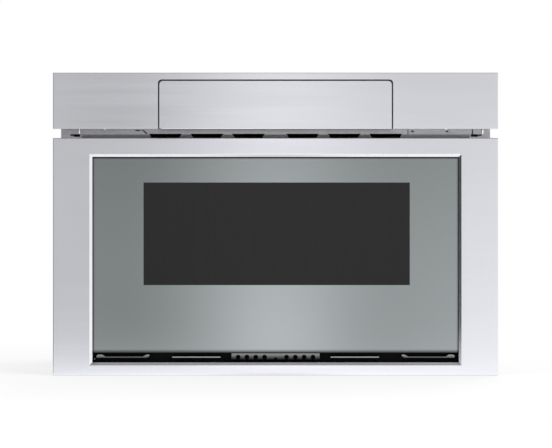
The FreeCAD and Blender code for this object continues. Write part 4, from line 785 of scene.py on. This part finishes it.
def rating_plate():
    """Blank riveted plate on the rear panel."""
    bm = bmesh.new()
    add_plate(bm, rounded_box(RATING_X, RATING_Z, RATING_W, RATING_H, RATING_CORNER), REAR_FACE,
              REAR_FACE + RATING_SHEET)
    for side_x in (-1, 1):
        for side_z in (-1, 1):
            x = RATING_X + side_x * (RATING_W / 2 - RIVET_INSET)
            z = RATING_Z + side_z * (RATING_H / 2 - RIVET_INSET)
            add_plate(bm, rounded_box(x, z, RIVET_SIZE, RIVET_SIZE, RIVET_ROUNDING, 6),
                      REAR_FACE + RIVET_SEAT, REAR_FACE + RIVET_TOP)
    piece = new_piece("rating_plate", mesh_from("rating_plate", bm), "chassis", ("aluminium",))
    soften(piece, 0.25)


rating_plate()


# ---------------------------------------------------------------- control panel markings

INK = 0.06 * MM
LINE = 0.45 * MM
KEY_W, KEY_H, KEY_CORNER = 15 * MM, 17 * MM, 2 * MM
KEY_STEP_X, KEY_STEP_Y = 19 * MM, 22 * MM
KEY_ROWS = (KEY_STEP_Y / 2, -KEY_STEP_Y / 2)
DIGIT_COLUMNS, ICON_COLUMNS = 5, 4
FIRST_DIGIT_X, FIRST_ICON_X = -124 * MM, 64 * MM
DIGIT_SIZE = 10 * MM
ICON_REACH = 3.2 * MM
ICON_CORNER = 0.6 * MM
DIAL_RADIUS = 3.8 * MM
HOUR_HAND, HOUR_SHIFT, MINUTE_HAND = 2.2 * MM, 1.0 * MM, 2.6 * MM
DRAWER_W, DRAWER_H, DRAWER_RISE = 9 * MM, 5 * MM, 1.0 * MM
ARROW_HALF, ARROW_TOP, ARROW_TIP = 2 * MM, 2.6 * MM, 4.6 * MM
DISPLAY_W, DISPLAY_H = 66 * MM, 26 * MM
CLOCK_SIZE = 19 * MM


def panel_place():
    """Frame of the sloped glass: X to the right, Y up the panel, Z out of its face."""
    faces = [face for face in nodes["touch_glass"].data.polygons
             if face.normal.y > 0.3 and face.normal.z > 0.3]
    face = max(faces, key=lambda item: item.area)
    out = face.normal.copy()
    right = Vector((1, 0, 0))
    low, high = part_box("touch_glass")
    middle = (low + high) / 2
    origin = middle - out * (middle - face.center).dot(out)
    turn = Matrix((right, out.cross(right), out)).transposed().to_4x4()
    return Matrix.Translation(origin) @ turn


def add_ink(bm, outline):
    """A printed shape on the panel, from its outline in the panel's plane."""
    rear = [bm.verts.new((x, y, 0)) for x, y in outline]
    face = [bm.verts.new((x, y, INK)) for x, y in outline]
    bm.faces.new(face)
    for i in range(len(outline)):
        j = (i + 1) % len(outline)
        bm.faces.new((rear[i], rear[j], face[j], face[i]))


def add_ring(bm, outer, inner):
    """A printed outline between two loops with the same number of points."""
    count = len(outer)
    for i in range(count):
        j = (i + 1) % count
        add_ink(bm, [outer[i], outer[j], inner[j], inner[i]])


def add_box_ring(bm, x, y, width, height, corner, inner_corner):
    """A printed outline of a rounded box."""
    add_ring(bm, rounded_box(x, y, width, height, corner),
             rounded_box(x, y, width - 2 * LINE, height - 2 * LINE, inner_corner))


def circle(x, y, radius, sides=24):
    """Points round a circle."""
    return [(x + radius * math.cos(2 * math.pi * k / sides),
             y + radius * math.sin(2 * math.pi * k / sides)) for k in range(sides)]


def add_digits(bm, text, x, y, size):
    """Plain numbers, centred on a point of the panel."""
    curve = bpy.data.curves.new("digits", "FONT")
    curve.body = text
    curve.size = size
    curve.align_x = "CENTER"
    curve.align_y = "CENTER"
    curve.extrude = INK / 2
    curve.resolution_u = 6
    holder = bpy.data.objects.new("digits", curve)
    bpy.context.scene.collection.objects.link(holder)
    mesh = holder.to_mesh(depsgraph=bpy.context.evaluated_depsgraph_get()).copy()
    bpy.data.objects.remove(holder)
    bpy.data.curves.remove(curve)
    mesh.transform(Matrix.Translation((x, y, INK / 2)))
    bm.from_mesh(mesh)
    bpy.data.meshes.remove(mesh)


def start_icon(bm, x, y):
    """Triangle that points to the right."""
    add_ink(bm, [(x - ICON_REACH, y - ICON_REACH), (x + ICON_REACH, y),
                 (x - ICON_REACH, y + ICON_REACH)])


def stop_icon(bm, x, y):
    """Square with slightly rounded corners."""
    add_ink(bm, rounded_box(x, y, 2 * ICON_REACH, 2 * ICON_REACH, ICON_CORNER))


def clock_icon(bm, x, y):
    """Dial with two hands."""
    add_ring(bm, circle(x, y, DIAL_RADIUS), circle(x, y, DIAL_RADIUS - LINE))
    add_ink(bm, rounded_box(x, y + MINUTE_HAND / 2, LINE, MINUTE_HAND, LINE / 3))
    add_ink(bm, rounded_box(x + HOUR_SHIFT, y, HOUR_HAND, LINE, LINE / 3))


def drawer_icon(bm, x, y):
    """Open box with an arrow below it."""
    add_box_ring(bm, x, y + DRAWER_RISE, DRAWER_W, DRAWER_H, ICON_CORNER, ICON_CORNER / 2)
    add_ink(bm, [(x - ARROW_HALF, y - ARROW_TOP), (x, y - ARROW_TIP),
                 (x + ARROW_HALF, y - ARROW_TOP)])


def level_icon(bm, x, y, is_more):
    """Minus sign, or a plus sign for more."""
    add_ink(bm, rounded_box(x, y, 2 * ICON_REACH, LINE * 1.6, LINE / 2))
    if is_more:
        add_ink(bm, rounded_box(x, y, LINE * 1.6, 2 * ICON_REACH, LINE / 2))


def touch_marks():
    """Key outlines, numbers and plain shapes printed on the sloped glass."""
    bm = bmesh.new()
    upper, lower = KEY_ROWS
    for row, y in enumerate(KEY_ROWS):
        for column in range(DIGIT_COLUMNS):
            x = FIRST_DIGIT_X + column * KEY_STEP_X
            add_box_ring(bm, x, y, KEY_W, KEY_H, KEY_CORNER, KEY_CORNER - LINE)
            add_digits(bm, str((row * DIGIT_COLUMNS + column + 1) % 10), x, y, DIGIT_SIZE)
    icons = (start_icon, stop_icon, clock_icon, drawer_icon)
    for column in range(ICON_COLUMNS):
        x = FIRST_ICON_X + column * KEY_STEP_X
        for y in KEY_ROWS:
            add_box_ring(bm, x, y, KEY_W, KEY_H, KEY_CORNER, KEY_CORNER - LINE)
        icons[column](bm, x, upper)
        level_icon(bm, x, lower, column % 2 == 0)
    bmesh.ops.transform(bm, matrix=panel_place(), verts=bm.verts)
    new_piece("touch_marks", mesh_from("touch_marks", bm), "control_panel", ("print_grey",))


def display_figures():
    """Clock figures in a framed window in the middle of the glass."""
    bm = bmesh.new()
    add_box_ring(bm, 0, 0, DISPLAY_W, DISPLAY_H, KEY_CORNER, KEY_CORNER - LINE)
    add_digits(bm, "12:00", 0, 0, CLOCK_SIZE)
    bmesh.ops.transform(bm, matrix=panel_place(), verts=bm.verts)
    new_piece("display_figures", mesh_from("display_figures", bm), "control_panel",
              ("figure_green",))


touch_marks()
display_figures()


# ---------------------------------------------------------------- studio

CAMERA_X, CAMERA_Z = 0.0006, 0.191
CAMERA_DISTANCE = 4.0
FRONT_PIXELS = 445.5
PICTURE_W = 552
SENSOR = 36.0
FAR_CLIP = 100.0

# Places, sizes and brightnesses of the cards that the front mirrors.
TOP_LEVEL = 2.0
CARD_BEHIND = 0.6
CARD_Y = FRONT_Y - CAMERA_DISTANCE - CARD_BEHIND
CARD_HALF, CARD_TOP = 3.2, 3.0
CARD_FLOOR = LOW.z - 0.2 * MM
CARD_NEAR = FRONT_Y - 1 * MM
CARD_SPREAD = [(-0.7, 0.90), (-0.42, 1.0), (-0.31, 0.74), (-0.24, 0.41), (-0.15, 0.39),
               (-0.08, 0.97), (-0.02, 1.68), (0.04, 1.48), (0.10, 0.68), (0.16, 0.62), (0.24, 0.90),
               (0.34, 0.95), (0.7, 0.90)]
CARD_RISE = [(-0.02, 1.31), (0.114, 1.25), (0.33, 1.07), (0.6, 0.88), (3.0, 0.85)]
FLOOR_SIDES = [(-0.8, 0.08), (-0.37, 0.10), (-0.31, 1.0), (0.8, 1.0)]
FLOOR_NEAR = [(0.0, 1.6), (0.04, 1.1), (0.3, 0.85), (1.2, 0.0), (4.7, 0.0)]
NEAR_LEVEL = 1.4
FLOOR_LEVEL = 1.26
FLAG_X, FLAG_FRONT, FLAG_TOP = -0.46, FRONT_Y - 0.45, 0.5
FLAG_LEVEL = 0.07
SIDE_X, SIDE_TOP = 1.9, 1.8
SIDE_FRONT, SIDE_BACK = FRONT_Y - 2.6, FRONT_Y - 0.1
SIDE_LEVEL = 1.4
CEILING_HALF, CEILING_Z = 1.8, 1.9
CEILING_FRONT = FRONT_Y - 1.1
CEILING_SPREAD = [(-1.2, 0.05), (0.0, 0.14), (1.2, 0.4)]
HIGH_FLAG_LEVEL = 0.3

# World and floor.
SOFT_LIGHT = 0.55
FLOOR_HALF = 30.0
FLOOR_Z = LOW.z - 0.5 * MM
FLOOR_COLOR = (0.88, 0.88, 0.88, 1)
FLOOR_CENTRE = (0, 0.25, FLOOR_Z)
WHITE_START, WHITE_END = 0.35, 1.6
WHITE_SHARE = 0.7

LAMP_TARGET = (0, 0, 0.2)
BACK_TARGET = (0, 0.3, 0.2)


def camera():
    """Long lens, square to the front, at the height of its middle."""
    data = bpy.data.cameras.new("camera")
    view = bpy.data.objects.new("camera", data)
    bpy.context.scene.collection.objects.link(view)
    view.location = (CAMERA_X, FRONT_Y - CAMERA_DISTANCE, CAMERA_Z)
    view.rotation_euler = (math.radians(90), 0, 0)
    data.sensor_width = SENSOR
    span = (HIGH.x - LOW.x) / CAMERA_DISTANCE
    data.lens = SENSOR * FRONT_PIXELS / PICTURE_W / span
    data.clip_end = FAR_CLIP
    bpy.context.scene.camera = view


def panel_light(name, place, target, size, watts):
    """Soft rectangular lamp aimed at a point."""
    data = bpy.data.lights.new(name, "AREA")
    data.shape = "RECTANGLE"
    data.size, data.size_y = size
    data.energy = watts
    lamp = bpy.data.objects.new(name, data)
    bpy.context.scene.collection.objects.link(lamp)
    lamp.location = place
    lamp.visible_glossy = False
    aim = Vector(target) - Vector(place)
    lamp.rotation_euler = aim.to_track_quat("-Z", "Y").to_euler()


class Glow:
    """Light-giving material of a studio card."""

    def __init__(self, name):
        self.material = bpy.data.materials.new(name)
        self.material.use_nodes = True
        self.tree = self.material.node_tree
        self.tree.nodes.clear()
        out = self.tree.nodes.new("ShaderNodeOutputMaterial")
        self.glow = self.tree.nodes.new("ShaderNodeEmission")
        self.tree.links.new(self.glow.outputs[0], out.inputs["Surface"])
        coords = self.tree.nodes.new("ShaderNodeTexCoord")
        split = self.tree.nodes.new("ShaderNodeSeparateXYZ")
        self.tree.links.new(coords.outputs["Object"], split.inputs["Vector"])
        self.x, self.y, self.z = (split.outputs[axis] for axis in "XYZ")

    def math(self, operation, first, second):
        """A math node in this material."""
        return math_node(self.tree, operation, first, second)

    def levels(self, value, stops):
        """Brightness that follows (place, brightness) stops smoothly, up to TOP_LEVEL."""
        low, high = stops[0][0], stops[-1][0]
        place = self.tree.nodes.new("ShaderNodeMapRange")
        place.inputs["From Min"].default_value = low
        place.inputs["From Max"].default_value = high
        self.tree.links.new(value, place.inputs["Value"])
        ramp = self.tree.nodes.new("ShaderNodeValToRGB")
        ramp.color_ramp.interpolation = "B_SPLINE"
        elements = ramp.color_ramp.elements
        while len(elements) < len(stops):
            elements.new(0.5)
        for element, (where, level) in zip(elements, stops):
            element.position = (where - low) / (high - low)
            grey = level / TOP_LEVEL
            element.color = (grey, grey, grey, 1)
        self.tree.links.new(place.outputs["Result"], ramp.inputs["Fac"])
        split = self.tree.nodes.new("ShaderNodeSeparateColor")
        self.tree.links.new(ramp.outputs["Color"], split.inputs["Color"])
        return self.math("MULTIPLY", split.outputs["Red"], TOP_LEVEL)

    def shine(self, strength):
        """Sets the strength, as a number or an output, and returns the material."""
        if isinstance(strength, float):
            self.glow.inputs["Strength"].default_value = strength
        else:
            self.tree.links.new(strength, self.glow.inputs["Strength"])
        return self.material


def seen_across(glow, gap):
    """Where the front's mirror image of the card shows a point of it, as an X on the front."""
    reach = glow.math("DIVIDE", gap, CAMERA_DISTANCE)
    return glow.math("DIVIDE", glow.x, glow.math("ADD", reach, 1.0))


def card_glow():
    """Brightest in the middle, darker to the left and upwards."""
    glow = Glow("front_card")
    across = seen_across(glow, FRONT_Y - CARD_Y)
    level = glow.levels(across, CARD_SPREAD)
    return glow.shine(glow.math("MULTIPLY", level, glow.levels(glow.z, CARD_RISE)))


def floor_glow():
    """Carries the upright card's pattern towards the object, even and bright close to it."""
    glow = Glow("floor_card")
    gap = glow.math("SUBTRACT", FRONT_Y, glow.y)
    across = seen_across(glow, gap)
    far = glow.math("MULTIPLY", glow.levels(across, CARD_SPREAD), FLOOR_LEVEL)
    near = glow.levels(gap, FLOOR_NEAR)
    step = glow.math("MULTIPLY", glow.math("SUBTRACT", NEAR_LEVEL, far), near)
    return glow.shine(glow.math("MULTIPLY", glow.math("ADD", far, step),
                                glow.levels(across, FLOOR_SIDES)))


def card(name, corners, material):
    """Studio card that only reflections see."""
    mesh = bpy.data.meshes.new(name)
    mesh.from_pydata(corners, [], [(0, 1, 2, 3)])
    mesh.materials.append(material)
    obj = bpy.data.objects.new(name, mesh)
    bpy.context.scene.collection.objects.link(obj)
    obj.visible_camera = False
    obj.visible_diffuse = False
    obj.visible_shadow = False
    obj.visible_transmission = False


def cards():
    """Upright card behind the camera, one along the floor, and one on each side and above."""
    card("front_card", [(-CARD_HALF, CARD_Y, CARD_FLOOR), (CARD_HALF, CARD_Y, CARD_FLOOR),
                        (CARD_HALF, CARD_Y, CARD_TOP), (-CARD_HALF, CARD_Y, CARD_TOP)],
         card_glow())
    card("floor_card", [(-CARD_HALF, CARD_Y, CARD_FLOOR), (CARD_HALF, CARD_Y, CARD_FLOOR),
                        (CARD_HALF, CARD_NEAR, CARD_FLOOR), (-CARD_HALF, CARD_NEAR, CARD_FLOOR)],
         floor_glow())
    card("left_flag", [(FLAG_X, FLAG_FRONT, CARD_FLOOR), (FLAG_X, 0, CARD_FLOOR),
                       (FLAG_X, 0, FLAG_TOP), (FLAG_X, FLAG_FRONT, FLAG_TOP)],
         Glow("left_flag").shine(FLAG_LEVEL))
    card("right_card", [(SIDE_X, SIDE_FRONT, CARD_FLOOR), (SIDE_X, SIDE_BACK, CARD_FLOOR),
                        (SIDE_X, SIDE_BACK, SIDE_TOP), (SIDE_X, SIDE_FRONT, SIDE_TOP)],
         Glow("right_card").shine(SIDE_LEVEL))
    above = Glow("ceiling_card")
    card("ceiling_card", [(-CEILING_HALF, CEILING_FRONT, CEILING_Z),
                          (CEILING_HALF, CEILING_FRONT, CEILING_Z),
                          (CEILING_HALF, SIDE_BACK, CEILING_Z),
                          (-CEILING_HALF, SIDE_BACK, CEILING_Z)],
         above.shine(above.levels(above.x, CEILING_SPREAD)))


def high_flag():
    """Dim card between the upright card's top and the one above, seen by rounded upper edges."""
    card("high_flag", [(-CEILING_HALF, CEILING_FRONT, CEILING_Z),
                       (CEILING_HALF, CEILING_FRONT, CEILING_Z), (CARD_HALF, CARD_Y, CARD_TOP),
                       (-CARD_HALF, CARD_Y, CARD_TOP)],
         Glow("high_flag").shine(HIGH_FLAG_LEVEL))


def seen_directly(tree):
    """1 for rays of the camera, of reflections and through glass, otherwise 0."""
    rays = tree.nodes.new("ShaderNodeLightPath")
    seen = rays.outputs["Is Camera Ray"]
    for other in ("Is Glossy Ray", "Is Transmission Ray"):
        seen = math_node(tree, "MAXIMUM", seen, rays.outputs[other])
    return seen


def studio_world():
    """White for the camera and reflections, softer light for everything else."""
    world = bpy.data.worlds.new("studio")
    bpy.context.scene.world = world
    world.use_nodes = True
    tree = world.node_tree
    back = tree.nodes["Background"]
    back.inputs["Color"].default_value = (1, 1, 1, 1)
    strength = tree.nodes.new("ShaderNodeMapRange")
    strength.inputs["To Min"].default_value = SOFT_LIGHT
    strength.inputs["To Max"].default_value = 1.0
    tree.links.new(seen_directly(tree), strength.inputs["Value"])
    tree.links.new(strength.outputs["Result"], back.inputs["Strength"])


def floor_finish():
    """Pale matt finish that turns white away from the object."""
    material = bpy.data.materials.new("floor")
    material.use_nodes = True
    tree = material.node_tree
    shader = tree.nodes["Principled BSDF"]
    shader.inputs["Base Color"].default_value = FLOOR_COLOR
    shader.inputs["Roughness"].default_value = 0.9
    shader.inputs["Specular IOR Level"].default_value = 0.0
    glow = tree.nodes.new("ShaderNodeEmission")
    glow.inputs["Strength"].default_value = 1.0
    coords = tree.nodes.new("ShaderNodeTexCoord")
    reach = tree.nodes.new("ShaderNodeVectorMath")
    reach.operation = "DISTANCE"
    reach.inputs[1].default_value = FLOOR_CENTRE
    tree.links.new(coords.outputs["Object"], reach.inputs[0])
    share = tree.nodes.new("ShaderNodeMapRange")
    share.interpolation_type = "SMOOTHSTEP"
    share.inputs["From Min"].default_value = WHITE_START
    share.inputs["From Max"].default_value = WHITE_END
    share.inputs["To Min"].default_value = WHITE_SHARE
    share.inputs["To Max"].default_value = 1.0
    tree.links.new(reach.outputs["Value"], share.inputs["Value"])
    amount = math_node(tree, "MULTIPLY", seen_directly(tree), share.outputs["Result"])
    mix = tree.nodes.new("ShaderNodeMixShader")
    tree.links.new(amount, mix.inputs["Fac"])
    tree.links.new(shader.outputs[0], mix.inputs[1])
    tree.links.new(glow.outputs[0], mix.inputs[2])
    tree.links.new(mix.outputs[0], tree.nodes["Material Output"].inputs["Surface"])
    return material


def floor():
    """Plain pale floor under the lowest edge, which keeps the object's shadow."""
    mesh = bpy.data.meshes.new("floor")
    corners = [(-1, -1), (1, -1), (1, 1), (-1, 1)]
    mesh.from_pydata([(x * FLOOR_HALF, y * FLOOR_HALF, FLOOR_Z) for x, y in corners], [],
                     [(0, 1, 2, 3)])
    mesh.materials.append(floor_finish())
    obj = bpy.data.objects.new("floor", mesh)
    bpy.context.scene.collection.objects.link(obj)


def studio():
    """Camera, world, floor, cards and lamps."""
    camera()
    studio_world()
    floor()
    cards()
    high_flag()
    panel_light("key", place=(2.4, -3.2, 2.8), target=LAMP_TARGET, size=(2.0, 1.4), watts=110)
    panel_light("fill", place=(-2.6, -3.0, 2.2), target=LAMP_TARGET, size=(1.6, 1.6), watts=60)
    panel_light("back", place=(0.8, 3.6, 2.8), target=BACK_TARGET, size=(2.4, 1.4), watts=110)


studio()

bpy.context.scene.view_settings.view_transform = "Standard"
